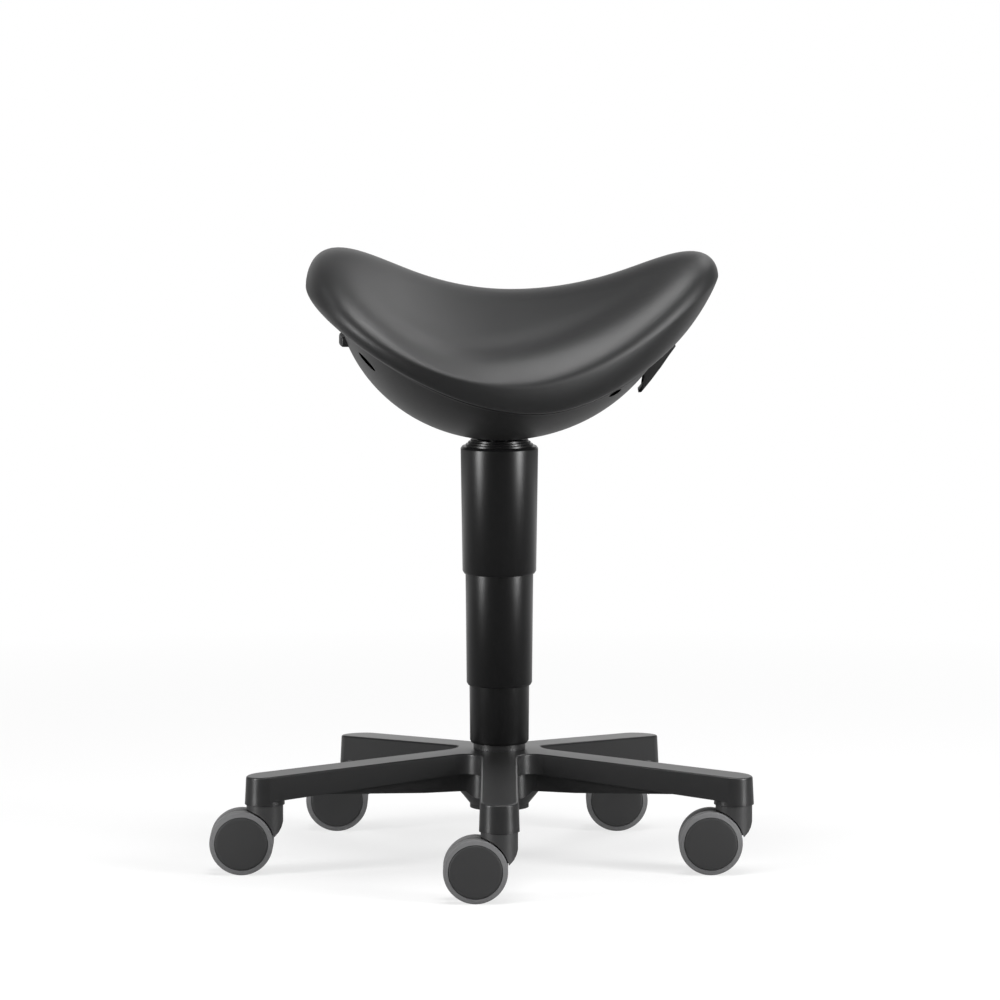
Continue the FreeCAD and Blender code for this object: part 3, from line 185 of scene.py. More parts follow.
plainSockets = {
    "Metallic": "metallic", "IOR": "ior", "Coat Weight": "coat", "Coat Roughness": "coatRoughness",
    "Sheen Weight": "sheen", "Sheen Roughness": "sheenRoughness",
}


def newFinish(name, look):
    # one Principled surface with grain, uneven gloss and a breath of dust
    material = bpy.data.materials.new(name)
    material.use_nodes = True
    tree = material.node_tree
    surface = tree.nodes["Principled BSDF"]
    place = tree.nodes.new("ShaderNodeTexCoord").outputs["Object"]
    grain = addGroupNode(tree, grainGroup, Scale=look["grainScale"], Softness=look["grainSoftness"])
    handling = addGroupNode(tree, handlingGroup, Patch_Scale=look["patchScale"],
                            Roughness=look["roughness"], Variation=look["glossVariation"])
    tree.links.new(place, grain.inputs["Vector"])
    tree.links.new(place, handling.inputs["Vector"])
    tone = colorMix(tree, grain.outputs["Tone"], look["darkColor"], look["lightColor"])
    dustShare = mathNode(tree, "MULTIPLY", handling.outputs["Dust"], look["dust"])
    dusty = colorMix(tree, dustShare, tone, look["dustColor"])
    tree.links.new(dusty, surface.inputs["Base Color"])
    tree.links.new(handling.outputs["Roughness"], surface.inputs["Roughness"])
    bump = tree.nodes.new("ShaderNodeBump")
    bump.inputs["Strength"].default_value = look["grainStrength"]
    bump.inputs["Distance"].default_value = look["grainDepth"]
    tree.links.new(grain.outputs["Height"], bump.inputs["Height"])
    tree.links.new(bump.outputs["Normal"], surface.inputs["Normal"])
    for socketName, key in plainSockets.items():
        surface.inputs[socketName].default_value = look[key]
    return material


blackPlastic = {
    "darkColor": (0.0085, 0.0085, 0.0088), "lightColor": (0.0125, 0.0125, 0.0128),
    "dustColor": (0.10, 0.10, 0.10), "dust": 0.05,
    "roughness": 0.42, "glossVariation": 0.06, "patchScale": 16.0,
    "grainScale": 1400.0, "grainSoftness": 0.5, "grainStrength": 0.25, "grainDepth": 0.00015,
    "metallic": 0.0, "ior": 1.46, "coat": 0.0, "coatRoughness": 0.2, "sheen": 0.0, "sheenRoughness": 0.4,
}
finishes = {
    "cover_skin": newFinish("saddleSkin", blackPlastic | {
        "darkColor": (0.0095, 0.0095, 0.0098), "lightColor": (0.0140, 0.0140, 0.0144),
        "roughness": 0.47, "glossVariation": 0.08, "patchScale": 9.0, "dust": 0.02,
        "grainScale": 1100.0, "grainSoftness": 0.35, "grainStrength": 0.30, "grainDepth": 0.00022,
        "sheen": 0.04, "sheenRoughness": 0.45,
    }),
    "shell_plastic": newFinish("shellPlastic", blackPlastic | {
        "roughness": 0.46, "grainScale": 1700.0, "grainStrength": 0.35,
    }),
    "base_plastic": newFinish("baseNylon", blackPlastic | {
        "darkColor": (0.0165, 0.0165, 0.0168), "lightColor": (0.0230, 0.0230, 0.0235),
        "roughness": 0.34, "grainScale": 800.0, "dust": 0.10,
    }),
    "cover_plastic": newFinish("coverPlastic", blackPlastic | {
        "darkColor": (0.0055, 0.0055, 0.0057), "lightColor": (0.0085, 0.0085, 0.0088),
        "roughness": 0.31, "grainStrength": 0.18,
    }),
    "castor_plastic": newFinish("castorPlastic", blackPlastic | {
        "darkColor": (0.0300, 0.0300, 0.0305), "lightColor": (0.0390, 0.0390, 0.0395), "roughness": 0.44,
    }),
    "tread_rubber": newFinish("treadRubber", blackPlastic | {
        "darkColor": (0.105, 0.105, 0.107), "lightColor": (0.135, 0.135, 0.137),
        "dustColor": (0.24, 0.23, 0.22), "dust": 0.15, "roughness": 0.62,
        "grainScale": 600.0, "grainStrength": 0.30,
    }),
    "steel": newFinish("turnedSteel", blackPlastic | {
        "darkColor": (0.42, 0.42, 0.43), "lightColor": (0.56, 0.56, 0.57), "metallic": 1.0,
        "roughness": 0.30, "dust": 0.0,
    }),
    "rod_chrome": newFinish("rodChrome", blackPlastic | {
        "darkColor": (0.72, 0.72, 0.73), "lightColor": (0.80, 0.80, 0.81), "metallic": 1.0,
        "roughness": 0.10, "dust": 0.0, "grainStrength": 0.05,
    }),
    "painted_steel": newFinish("paintedSteel", blackPlastic | {
        "roughness": 0.34, "grainScale": 500.0, "coat": 0.2, "coatRoughness": 0.15,
    }),
    "bush_plastic": newFinish("bushPlastic", blackPlastic | {
        "darkColor": (0.50, 0.50, 0.48), "lightColor": (0.60, 0.60, 0.58), "roughness": 0.40,
    }),
}
print("finishes made:", len(finishes))


# Every CAD node that stays gets the finish of its slot

nodeSlots = {part["node"]: part["material_slot"] for part in frame["record"]["subparts"]}
for nodeName, node in cadNodes.items():
    node.data.materials.clear()
    node.data.materials.append(finishes[nodeSlots[nodeName]])


# Making pieces

def finishPiece(mesh, name, body, slot, replaced, smoothAngle=35.0):
    data = bpy.data.meshes.new(name)
    mesh.to_mesh(data)
    mesh.free()
    data.shade_smooth()
    data.set_sharp_from_angle(angle=math.radians(smoothAngle))
    data.materials.append(finishes[slot])
    piece = bpy.data.objects.new(name, data)
    bpy.context.scene.collection.objects.link(piece)
    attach(piece, body)
    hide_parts(*replaced)
    return piece


def closeSkin(mesh):
    bmesh.ops.remove_doubles(mesh, verts=mesh.verts, dist=1e-6)
    bmesh.ops.recalc_face_normals(mesh, faces=mesh.faces)


def sharpEdges(mesh, angle):
    limit = math.radians(angle)
    return [edge for edge in mesh.edges if len(edge.link_faces) == 2 and edge.calc_face_angle() > limit]


def softenEdges(mesh, width, segments=3, angle=30.0):
    bmesh.ops.bevel(mesh, geom=sharpEdges(mesh, angle), offset=width, offset_type="OFFSET",
                    segments=segments, profile=0.5, affect="EDGES", material=-1, clamp_overlap=True)


def drawLine(mesh, points, closed=False):
    # points joined by edges, ready to be spun or filled
    corners = [mesh.verts.new(point) for point in points]
    following = corners[1:] + corners[:1] if closed else corners[1:]
    return corners + [mesh.edges.new(pair) for pair in zip(corners, following)]


def spinDrawn(mesh, drawn, steps):
    bmesh.ops.spin(mesh, geom=drawn, cent=(0, 0, 0), axis=(0, 0, 1), dvec=(0, 0, 0),
                   angle=2 * math.pi, steps=steps, use_merge=True, use_duplicate=False)


def spinProfile(profile, steps, softening):
    # turned about Z from (radius, height) points that start and end on the axis or meet each other
    mesh = bmesh.new()
    drawn = drawLine(mesh, [(radius, 0, height) for radius, height in profile])
    spinDrawn(mesh, drawn, steps)
    closeSkin(mesh)
    if softening:
        softenEdges(mesh, softening)
    return mesh


# Saddle cushion

saddle = {
    "rear": -0.1975, "front": 0.2235,               # ends along X
    "halfWidth": 0.172, "egg": 0.33, "bluntness": 0.72,
    # heights along X of the ridge, the widest line and the border with the shell, each lowest at its Low
    "crest": 0.5907, "crestLow": 0.0115, "crestRearRise": 0.0814, "crestFrontRise": 0.0670,
    "edge": 0.505, "edgeLow": 0.025, "edgeRear": 0.596, "edgeFront": 0.605, "edgePower": 1.8,
    "border": 0.478, "borderLow": 0.042, "borderRear": 0.568, "borderFront": 0.543, "borderPower": 1.85,
    "borderRearEnd": -0.1645, "borderFrontEnd": 0.1835, "borderInset": 0.012,
    "roof": 0.034, "roofHalf": 0.060, "roofPower": 6,
    "flankShare": 0.36,                             # part of the underside outside the arched roof
    "slope": 0.467, "ridgeHalf": 0.042,             # of the flanks, and of the round ridge between them
    "rearSlope": 0.25, "rearSlopePower": 1.6,
    "frontSteepening": 0.09, "frontSteepeningPower": 0.8, "tipFlattening": 0.26, "tipFlatteningPower": 4,
    "sideRoll": 0.040, "sideFullness": 2.0,         # the roll round the edge
    "rearRoll": 0.1033, "frontRoll": 0.0964, "endFullness": 1.8, "endPower": 3,
    "underFullness": 2.0, "rearUnder": 1.6, "frontUnder": 1.2,
    "valley": 0.0024, "valleyInset": 0.054, "valleyWidth": 0.018,
    "rollCrest": 0.0006, "crestInset": 0.024, "crestWidth": 0.011,
    "ringCount": 150, "aroundCount": 180, "smoothAngle": 80.0,
}


def sag(x, low, rear, front, power=2.0):
    end, height = rear if x < low else front
    return height * ((x - low) / (end - low)) ** power


def planHalf(x, rear, front, halfWidth):
    cosine = max(-1.0, min(1.0, (x - (rear + front) / 2) / ((front - rear) / 2)))
    sine = math.sqrt(1 - cosine * cosine)
    return halfWidth * sine ** saddle["bluntness"] * (1 - saddle["egg"] * cosine)


def edgeHalf(x):
    return planHalf(x, saddle["rear"], saddle["front"], saddle["halfWidth"])


def borderHalf(x):
    return planHalf(x, saddle["borderRearEnd"], saddle["borderFrontEnd"],
                    saddle["halfWidth"] - saddle["borderInset"])


def ridgeLine(x):
    return saddle["crest"] + sag(x, saddle["crestLow"], (saddle["rear"], saddle["crestRearRise"]),
                                 (saddle["front"], saddle["crestFrontRise"]))


def flankSlope(x):
    # the flanks are steepest in front of the middle and flatten out towards both ends
    low = saddle["crestLow"]
    if x < low:
        share = (low - x) / (low - saddle["rear"])
        return saddle["slope"] + (saddle["rearSlope"] - saddle["slope"]) * share ** saddle["rearSlopePower"]
    share = (x - low) / (saddle["front"] - low)
    steeper = saddle["frontSteepening"] * share ** saddle["frontSteepeningPower"]
    flatter = saddle["tipFlattening"] * share ** saddle["tipFlatteningPower"]
    return saddle["slope"] + steeper - flatter


def flankHeight(x, y):
    ridge = saddle["ridgeHalf"]
    fall = y * y / (2 * ridge) if abs(y) < ridge else abs(y) - ridge / 2
    return ridgeLine(x) - flankSlope(x) * fall


def edgeHeight(x):
    return saddle["edge"] + sag(x, saddle["edgeLow"], (saddle["rear"], saddle["edgeRear"] - saddle["edge"]),
                                (saddle["front"], saddle["edgeFront"] - saddle["edge"]), saddle["edgePower"])


def borderHeight(x):
    rearRise = saddle["borderRear"] - saddle["border"]
    frontRise = saddle["borderFront"] - saddle["border"]
    return saddle["border"] + sag(x, saddle["borderLow"], (saddle["borderRearEnd"], rearRise),
                                  (saddle["borderFrontEnd"], frontRise), saddle["borderPower"])


def planPoint(rear, front, halfAt, turn):
    # a point of an egg-shaped plan in the direction of an angle
    x = (rear + front) / 2 + (front - rear) / 2 * math.cos(turn)
    return Vector((x, math.copysign(halfAt(x), math.sin(turn)), 0))


def topPoint(turn, spread):
    # spread runs from 0 on the middle of the ridge to 1 on the widest line
    rim = planPoint(saddle["rear"], saddle["front"], edgeHalf, turn)
    middle = Vector(((saddle["rear"] + saddle["front"]) / 2, 0, 0))
    place = middle.lerp(rim, spread)
    height = flankHeight(place.x, place.y)
    along = math.cos(turn)
    endRoll = saddle["rearRoll"] if along < 0 else saddle["frontRoll"]
    endShare = abs(along) ** saddle["endPower"]
    roll = saddle["sideRoll"] + (endRoll - saddle["sideRoll"]) * endShare
    fullness = saddle["sideFullness"] + (saddle["endFullness"] - saddle["sideFullness"]) * endShare
    inset = (1 - spread) * (rim - middle).length
    if inset < roll:
        depth = 1 - inset / roll
        height -= (height - edgeHeight(rim.x)) * (1 - math.sqrt(max(0.0, 1 - depth ** fullness)))
    valley = saddle["valley"] * math.exp(-((inset - saddle["valleyInset"]) / saddle["valleyWidth"]) ** 2)
    crest = saddle["rollCrest"] * math.exp(-((inset - saddle["crestInset"]) / saddle["crestWidth"]) ** 2)
    height += (1 - endShare) * (crest - valley)
    return Vector((place.x, place.y, height))


def undersidePoint(turn, down):
    # down runs from 0 on the widest line, over the border, to 1 under the middle
    rim = planPoint(saddle["rear"], saddle["front"], edgeHalf, turn)
    border = planPoint(saddle["borderRearEnd"], saddle["borderFrontEnd"], borderHalf, turn)
    level = borderHeight(border.x)
    if down < saddle["flankShare"]:
        arc = down / saddle["flankShare"] * math.pi / 2
        along = math.cos(turn)
        endUnder = saddle["rearUnder"] if along < 0 else saddle["frontUnder"]
        power = 2 / (saddle["underFullness"] + (endUnder - saddle["underFullness"]) * abs(along))
        place = border.lerp(rim, math.cos(arc) ** power)
        edge = edgeHeight(rim.x)
        return Vector((place.x, place.y, edge + (level - edge) * math.sin(arc) ** power))
    share = (1 - down) / (1 - saddle["flankShare"])
    middle = Vector(((saddle["borderRearEnd"] + saddle["borderFrontEnd"]) / 2, 0, 0))
    place = middle.lerp(border, share)
    half = borderHalf(place.x)
    across = min(1.0, abs(place.y) / max(half, 1e-5))
    roof = saddle["roof"] * min(1.0, half / saddle["roofHalf"]) * (1 - across * across)
    return Vector((place.x, place.y, borderHeight(place.x) + roof * (1 - share ** saddle["roofPower"])))


def buildCushion():
    mesh = bmesh.new()
    bmesh.ops.create_uvsphere(mesh, u_segments=saddle["aroundCount"], v_segments=saddle["ringCount"],
                              radius=1.0)
    for vert in mesh.verts:
        turn = math.atan2(vert.co.y, vert.co.x)
        spread = math.hypot(vert.co.x, vert.co.y)
        if vert.co.z >= -1e-6:
            vert.co = topPoint(turn, min(1.0, spread))
        else:
            vert.co = undersidePoint(turn, 1 - math.acos(min(1.0, -vert.co.z)) / (math.pi / 2))
    closeSkin(mesh)
    cushion = finishPiece(mesh, "saddleCushion", "seat", "cover_skin", ["cushion"], saddle["smoothAngle"])


buildCushion()
print("cushion made")


# Seat shell: the bowl under the cushion, with a bead round its rim, four vents and the paddle's recess

shell = {
    "foot": 0.437, "depth": 0.1568, "rearReach": 0.1672, "frontReach": 0.1785,
    "leastDepth": 0.002, "leastHalf": 0.0005,       # keep the bowl's cross-section real at its two tips
    "wall": 0.0036, "gap": 0.0004, "throat": 0.0245, "bead": 0.0009, "beadShare": 0.022,
    "rings": 64, "ringPower": 1.6, "steps": 216, "smoothAngle": 40.0,
    "vents": [{"x": -0.133, "z": 0.526, "length": 0.026, "lean": 46.0},
              {"x": 0.117, "z": 0.494, "length": 0.014, "lean": -28.0}],
    "ventWidth": 0.0042, "ventSide": 0.098, "ventReach": 0.034,
    "recess": {"low": (0.1415, -0.0290, 0.4865), "high": (0.1950, 0.0290, 0.5440)},
    "slot": {"low": (0.1145, -0.0090, 0.4813), "high": (0.1800, 0.0090, 0.5033)},
    "openingSoftening": 0.002,
}


def shellFoot(x):
    reach = shell["frontReach"] if x > 0 else shell["rearReach"]
    share = min(0.9999, abs(x) / reach)
    return shell["foot"] + shell["depth"] * (1 - math.sqrt(1 - share * share))


def bowlHeight(place):
    rim = borderHeight(place.x) - shell["gap"]
    foot = min(shellFoot(place.x), rim - shell["leastDepth"])
    half = max(borderHalf(place.x), shell["leastHalf"])
    depth = rim - foot
    radius = (half * half + depth * depth) / (2 * depth)
    reach = min(abs(place.y), half)
    return foot + radius - math.sqrt(radius * radius - reach * reach)


def shellPoint(turn, spread, inside):
    # spread runs from 0 at the throat to 1 at the rim
    border = planPoint(saddle["borderRearEnd"], saddle["borderFrontEnd"], borderHalf, turn)
    throat = Vector((math.cos(turn), math.sin(turn), 0)) * shell["throat"]
    place = throat.lerp(border, spread)
    height = bowlHeight(place)
    outward = border.normalized()
    if inside:
        rim = borderHeight(place.x) - shell["gap"]
        level = min(height + shell["wall"], rim)
        return Vector((place.x, place.y, level)) - outward * shell["wall"] * spread
    swell = max(0.0, (spread - 1 + shell["beadShare"]) / shell["beadShare"])
    return Vector((place.x, place.y, height)) + outward * shell["bead"] * math.sin(math.pi * swell)


def buildShell():
    # a flat ring with a lower and an upper face is spun, and then bent into the bowl
    mesh = bmesh.new()
    shares = [step / shell["rings"] for step in range(shell["rings"] + 1)]
    radii = [1 + (1 - (1 - share) ** shell["ringPower"]) for share in shares]
    outline = [(radius, 0, -1) for radius in radii] + [(radius, 0, 1) for radius in reversed(radii)]
    spinDrawn(mesh, drawLine(mesh, outline, closed=True), shell["steps"])
    for vert in mesh.verts:
        turn = math.atan2(vert.co.y, vert.co.x)
        vert.co = shellPoint(turn, math.hypot(vert.co.x, vert.co.y) - 1, vert.co.z > 0)
    bmesh.ops.recalc_face_normals(mesh, faces=mesh.faces)
    return mesh


def roundedBlock(low, high, softening):
    mesh = bmesh.new()
    bmesh.ops.create_cube(mesh, size=1.0)
    low, high = Vector(low), Vector(high)
    for vert in mesh.verts:
        vert.co = [(a + b) / 2 + (b - a) * c for a, b, c in zip(low, high, vert.co)]
    softenEdges(mesh, softening, 4)
    return mesh


def ventCutter(values, side):
    mesh = bmesh.new()
    bmesh.ops.create_uvsphere(mesh, u_segments=32, v_segments=16, radius=1.0)
    bmesh.ops.scale(mesh, verts=mesh.verts,
                    vec=(values["length"] / 2, shell["ventReach"], shell["ventWidth"] / 2))
    bmesh.ops.rotate(mesh, verts=mesh.verts, cent=(0, 0, 0),
                     matrix=Matrix.Rotation(math.radians(values["lean"]), 3, "Y"))
    bmesh.ops.translate(mesh, verts=mesh.verts, vec=(values["x"], side * shell["ventSide"], values["z"]))
    return mesh


def cutAway(mesh, cutters):
    # the mesh with each cutter's space taken out
    scene = bpy.context.scene
    blank = bpy.data.objects.new("blank", bpy.data.meshes.new("blank"))
    mesh.to_mesh(blank.data)
    scene.collection.objects.link(blank)
    made = [blank]
    for number, cutter in enumerate(cutters):
        tool = bpy.data.objects.new("cutter%d" % number, bpy.data.meshes.new("cutter%d" % number))
        cutter.to_mesh(tool.data)
        cutter.free()
        scene.collection.objects.link(tool)
        made.append(tool)
        step = blank.modifiers.new("cut%d" % number, "BOOLEAN")
        step.operation = "DIFFERENCE"
        step.solver = "EXACT"
        step.object = tool
    shaped = bpy.data.meshes.new_from_object(blank.evaluated_get(bpy.context.evaluated_depsgraph_get()))
    mesh.clear()
    mesh.from_mesh(shaped)
    for item in made:
        bpy.data.objects.remove(item)
    return mesh


cutters = [ventCutter(values, side) for values in shell["vents"] for side in (-1, 1)]
for opening in ("recess", "slot"):
    cutters.append(roundedBlock(shell[opening]["low"], shell[opening]["high"], shell["openingSoftening"]))
seatBowl = cutAway(buildShell(), cutters)
finishPiece(seatBowl, "seatBowl", "seat", "shell_plastic", ["seat_shell"], shell["smoothAngle"])
print("shell made")


# Release lever: bar, eye and a scoop with two cheeks under the saddle's front

lever = {
    "halfWidth": 0.006, "thickness": 0.008,
    "bar": [(-0.009, 0.4843), (0.112, 0.4843), (0.125, 0.4905), (0.152, 0.5150)],
    "pivot": (0.060, 0.4883), "eyeRadius": 0.008, "pinRadius": 0.00306, "eyeSteps": 48,
    "eyeSoftening": 0.0006,
    "scoopHalf": 0.0225, "flare": 0.5, "wall": 0.0032, "softening": 0.0009,
    "outline": [(0.1447, 0.4868), (0.1549, 0.4994), (0.1652, 0.5131), (0.1721, 0.5233), (0.1802, 0.5345)],
    "inner": [(0.1735, 0.5345), (0.1560, 0.5240), (0.1482, 0.5120), (0.1474, 0.5040), (0.1458, 0.4950)],
}


def sidePrism(profile, low, high, softening):
    # a side outline in X and Z, thickened along Y
    mesh = bmesh.new()
    drawLine(mesh, [(x, low, z) for x, z in profile], closed=True)
    bmesh.ops.edgenet_fill(mesh, edges=mesh.edges[:])
    grown = bmesh.ops.extrude_face_region(mesh, geom=mesh.faces[:])["geom"]
    moved = [item for item in grown if isinstance(item, bmesh.types.BMVert)]
    bmesh.ops.translate(mesh, verts=moved, vec=(0, high - low, 0))
    bmesh.ops.recalc_face_normals(mesh, faces=mesh.faces)
    softenEdges(mesh, softening, 3, 40.0)
    return mesh


def joinMeshes(meshes):
    whole = bmesh.new()
    for mesh in meshes:
        data = bpy.data.meshes.new("part")
        mesh.to_mesh(data)
        mesh.free()
        whole.from_mesh(data)
        bpy.data.meshes.remove(data)
    return whole


def buildScoop():
    # two cheeks and a front wall, which lean out as they rise
    half = lever["scoopHalf"]
    wall = lever["wall"]
    outline = lever["outline"]
    cheeks = [sidePrism(outline + lever["inner"], *sorted((side * half, side * (half - wall))),
                        lever["softening"]) for side in (-1, 1)]
    innerFace = [(x - wall, z) for x, z in reversed(outline)]
    front = sidePrism(outline + innerFace, -half + wall * 0.5, half - wall * 0.5, lever["softening"])
    scoop = joinMeshes(cheeks + [front])
    foot = Vector((outline[0][0], 0, outline[0][1]))
    root = Vector((outline[-1][0], 0, outline[-1][1]))
    inward = (root - foot).cross(Vector((0, 1, 0))).normalized()
    for vert in scoop.verts:
        depth = max(0.0, (vert.co - foot).dot(inward))
        vert.co.y += math.copysign(lever["flare"] * depth, vert.co.y)
    return scoop


def buildBar():
    half = lever["halfWidth"]
    barTop = [(x, z + lever["thickness"]) for x, z in reversed(lever["bar"])]
    return sidePrism(lever["bar"] + barTop, -half, half, lever["softening"])


def buildEye():
    half = lever["halfWidth"]
    pivotX, pivotZ = lever["pivot"]
    ring = [(lever["pinRadius"], -half), (lever["eyeRadius"], -half), (lever["eyeRadius"], half),
            (lever["pinRadius"], half), (lever["pinRadius"], -half)]
    eye = spinProfile(ring, lever["eyeSteps"], lever["eyeSoftening"])
    bmesh.ops.rotate(eye, verts=eye.verts, cent=(0, 0, 0), matrix=Matrix.Rotation(math.pi / 2, 3, "X"))
    bmesh.ops.translate(eye, verts=eye.verts, vec=(pivotX, 0, pivotZ))
    return eye


releaseLever = joinMeshes([buildScoop(), buildBar(), buildEye()])
finishPiece(releaseLever, "releaseLever", "lever", nodeSlots["height_lever"], ["height_lever"])


# Rear grip: a lug across the shell under the saddle's rear end

grip = {
    "low": (-0.1640, -0.040, 0.5350), "high": (-0.1490, 0.040, 0.5450), "softening": 0.0016,
    "sweep": 2.2, "sweepCuts": 16,                  # how far its ends curve back, and in how many steps
}


def buildGrip():
    mesh = roundedBlock(grip["low"], grip["high"], grip["softening"])
    quarter = (grip["high"][1] - grip["low"][1]) / 4
    across = [edge for edge in mesh.edges if abs(edge.verts[0].co.y - edge.verts[1].co.y) > quarter]
    bmesh.ops.subdivide_edges(mesh, edges=across, cuts=grip["sweepCuts"], use_grid_fill=True)
    for vert in mesh.verts:
        vert.co.x += grip["sweep"] * vert.co.y * vert.co.y
    return mesh


finishPiece(buildGrip(), "rearGrip", "seat", nodeSlots["rear_grip"], ["rear_grip"])
print("lever and grip made")


# Castor wheels: a domed disc inside a rubber tread, ten of them

wheel = {
    "radius": 0.0325, "treadDepth": 0.005, "width": 0.0185, "spacing": 0.0075,
    "boreRadius": 0.00405, "boreCover": 0.0055, "hubRadius": 0.008,
    "webThickness": 0.003, "webPlace": 0.4, "lipInset": 0.001,
    "groove": 0.0011, "grooveFall": 1.6, "edgeWidth": 0.0012, "edgeRise": 0.0003,
    "dome": 0.0012, "domeFall": [(0.80, 0.62), (0.60, 0.35), (0.40, 0.15), (0.20, 0.04)],
    "softening": 0.00025, "smoothAngle": 40.0, "steps": 96,
    "castorCount": 5, "circle": 0.2515, "trail": 0.0237,
}
tread = {
    "innerInset": 0.0004, "outerFall": 1.4, "corner": 0.0022, "cornerSteps": 6,
    "shoulder": 0.0012, "shoulderFall": 0.0004,
}


def wheelProfile():
    inner = wheel["spacing"] / 2
    outer = inner + wheel["width"]
    seat = wheel["radius"] - wheel["treadDepth"]
    rim = seat - wheel["webThickness"]
    webFace = inner + wheel["width"] * wheel["webPlace"]
    lip = inner + wheel["lipInset"]
    dome = wheel["dome"]
    grooveFloor = outer - dome * wheel["grooveFall"]
    faceEdge = seat - wheel["groove"]
    boreEnd = outer - wheel["boreCover"]
    return [
        (0.0, boreEnd), (wheel["boreRadius"], boreEnd), (wheel["boreRadius"], inner),
        (wheel["hubRadius"], inner), (wheel["hubRadius"], webFace), (rim, webFace), (rim, lip),
        (seat, lip), (seat, grooveFloor), (faceEdge, grooveFloor), (faceEdge, outer - dome),
        (faceEdge - wheel["edgeWidth"], outer - dome + wheel["edgeRise"]),
        *[(seat * share, outer - dome * fall) for share, fall in wheel["domeFall"]],
        (0.0, outer),
    ]


def treadProfile():
    inner = wheel["spacing"] / 2 + tread["innerInset"]
    outer = wheel["spacing"] / 2 + wheel["width"] - wheel["dome"] * tread["outerFall"]
    seat = wheel["radius"] - wheel["treadDepth"]
    corner = tread["corner"]
    profile = [(seat, inner)]
    for centre, start in ((inner + corner, -90.0), (outer - tread["shoulder"] - corner, 0.0)):
        for step in range(tread["cornerSteps"] + 1):
            angle = math.radians(start + 90.0 / tread["cornerSteps"] * step)
            profile.append((wheel["radius"] - corner + corner * math.cos(angle),
                            centre + corner * math.sin(angle)))
    profile += [(seat + tread["shoulder"], outer - tread["shoulderFall"]), (seat, outer), (seat, inner)]
    return profile


def castorPlace(number):
    angle = math.radians(-90.0 - 360.0 / wheel["castorCount"] * (number - 1))
    return Vector((wheel["circle"] * math.cos(angle), wheel["circle"] * math.sin(angle), 0))


def buildRoller(number, side, turn):
    axle = castorPlace(number) + Vector((-wheel["trail"], 0, wheel["radius"]))
    for kind, profile, slot, softening in (("wheel", wheelProfile(), "castor_plastic", wheel["softening"]),
                                           ("tread", treadProfile(), "tread_rubber", 0.0)):
        mesh = spinProfile(profile, wheel["steps"], softening)
        bmesh.ops.rotate(mesh, verts=mesh.verts, cent=(0, 0, 0), matrix=Matrix.Rotation(turn, 3, "X"))
        bmesh.ops.translate(mesh, verts=mesh.verts, vec=axle)
        finishPiece(mesh, "castor%d%s%s" % (number, side.title(), kind.title()),
                    "castor_%d_%s_roller" % (number, side), slot,
                    ["castor_%d_%s_%s" % (number, side, kind)], wheel["smoothAngle"])


for castorNumber in range(1, wheel["castorCount"] + 1):
    buildRoller(castorNumber, "right", math.pi / 2)
    buildRoller(castorNumber, "left", -math.pi / 2)
print("wheels made")


# Column covers

covers = {
    "lower": {"foot": 0.123, "length": 0.134, "footRadius": 0.03025, "topRadius": 0.0315,
              "floorRadius": 0.0251},
    "middle": {"foot": 0.1829, "length": 0.152, "footRadius": 0.0337, "topRadius": 0.03515},
    "wall": 0.0023, "floorThickness": 0.003,
    "bevel": 0.0016, "bevelHeight": 1.8, "softening": 0.0005, "steps": 128,
}
upperCover = {
    "foot": 0.2985, "shoulder": 0.4275, "footRadius": 0.0379, "topRadius": 0.03975,
    "step": 0.0023, "stepCount": 3, "stepRadius": 0.0345, "stepInset": 0.0024,
    "shoulderInset": 0.7, "top": 0.437,
    "throat": 0.024, "bore": 0.0141, "roof": 0.0055,
}


def coverProfile(values):
    wall = covers["wall"]
    foot = values["foot"]
    top = foot + values["length"]
    inner = values["footRadius"] - covers["bevel"]
    profile = [(inner, foot), (values["footRadius"], foot + covers["bevel"] * covers["bevelHeight"]),
               (values["topRadius"], top), (values["topRadius"] - wall, top)]
    if "floorRadius" in values:
        floorTop = foot + covers["floorThickness"]
        profile += [(values["footRadius"] - wall, floorTop), (values["floorRadius"], floorTop),
                    (values["floorRadius"], foot)]
    else:
        profile.append((values["footRadius"] - wall, foot))
    return profile + [(inner, foot)]


def upperCoverProfile():
    # like the others, with a stepped cap that the shell's throat sits in
    wall = covers["wall"]
    foot = upperCover["foot"]
    step = upperCover["step"]
    top = upperCover["top"]
    topRadius = upperCover["topRadius"]
    inner = upperCover["footRadius"] - covers["bevel"]
    capFoot = upperCover["shoulder"] + step
    roof = capFoot - upperCover["roof"]
    profile = [(inner, foot), (upperCover["footRadius"], foot + covers["bevel"] * covers["bevelHeight"]),
               (topRadius, upperCover["shoulder"]), (topRadius - step * upperCover["shoulderInset"], capFoot)]
    for index in range(upperCover["stepCount"]):
        radius = upperCover["stepRadius"] - upperCover["stepInset"] * index
        profile += [(radius, capFoot + step * index), (radius, min(capFoot + step * (index + 1), top))]
    profile += [(upperCover["throat"], top), (upperCover["throat"], capFoot), (upperCover["bore"], capFoot),
                (upperCover["bore"], roof), (topRadius - wall, roof),
                (upperCover["footRadius"] - wall, foot), (inner, foot)]
    return profile


for pieceName, body, replacedNode, profile in (
        ("lowerCover", "base", "lower_cover", coverProfile(covers["lower"])),
        ("middleCover", "cover_middle", "middle_cover", coverProfile(covers["middle"])),
        ("upperCover", "seat", "upper_cover", upperCoverProfile())):
    turned = spinProfile(profile, covers["steps"], covers["softening"])
    finishPiece(turned, pieceName, body, "cover_plastic", [replacedNode])
print("covers made")


# Studio: floor, surroundings, soft boxes and the camera

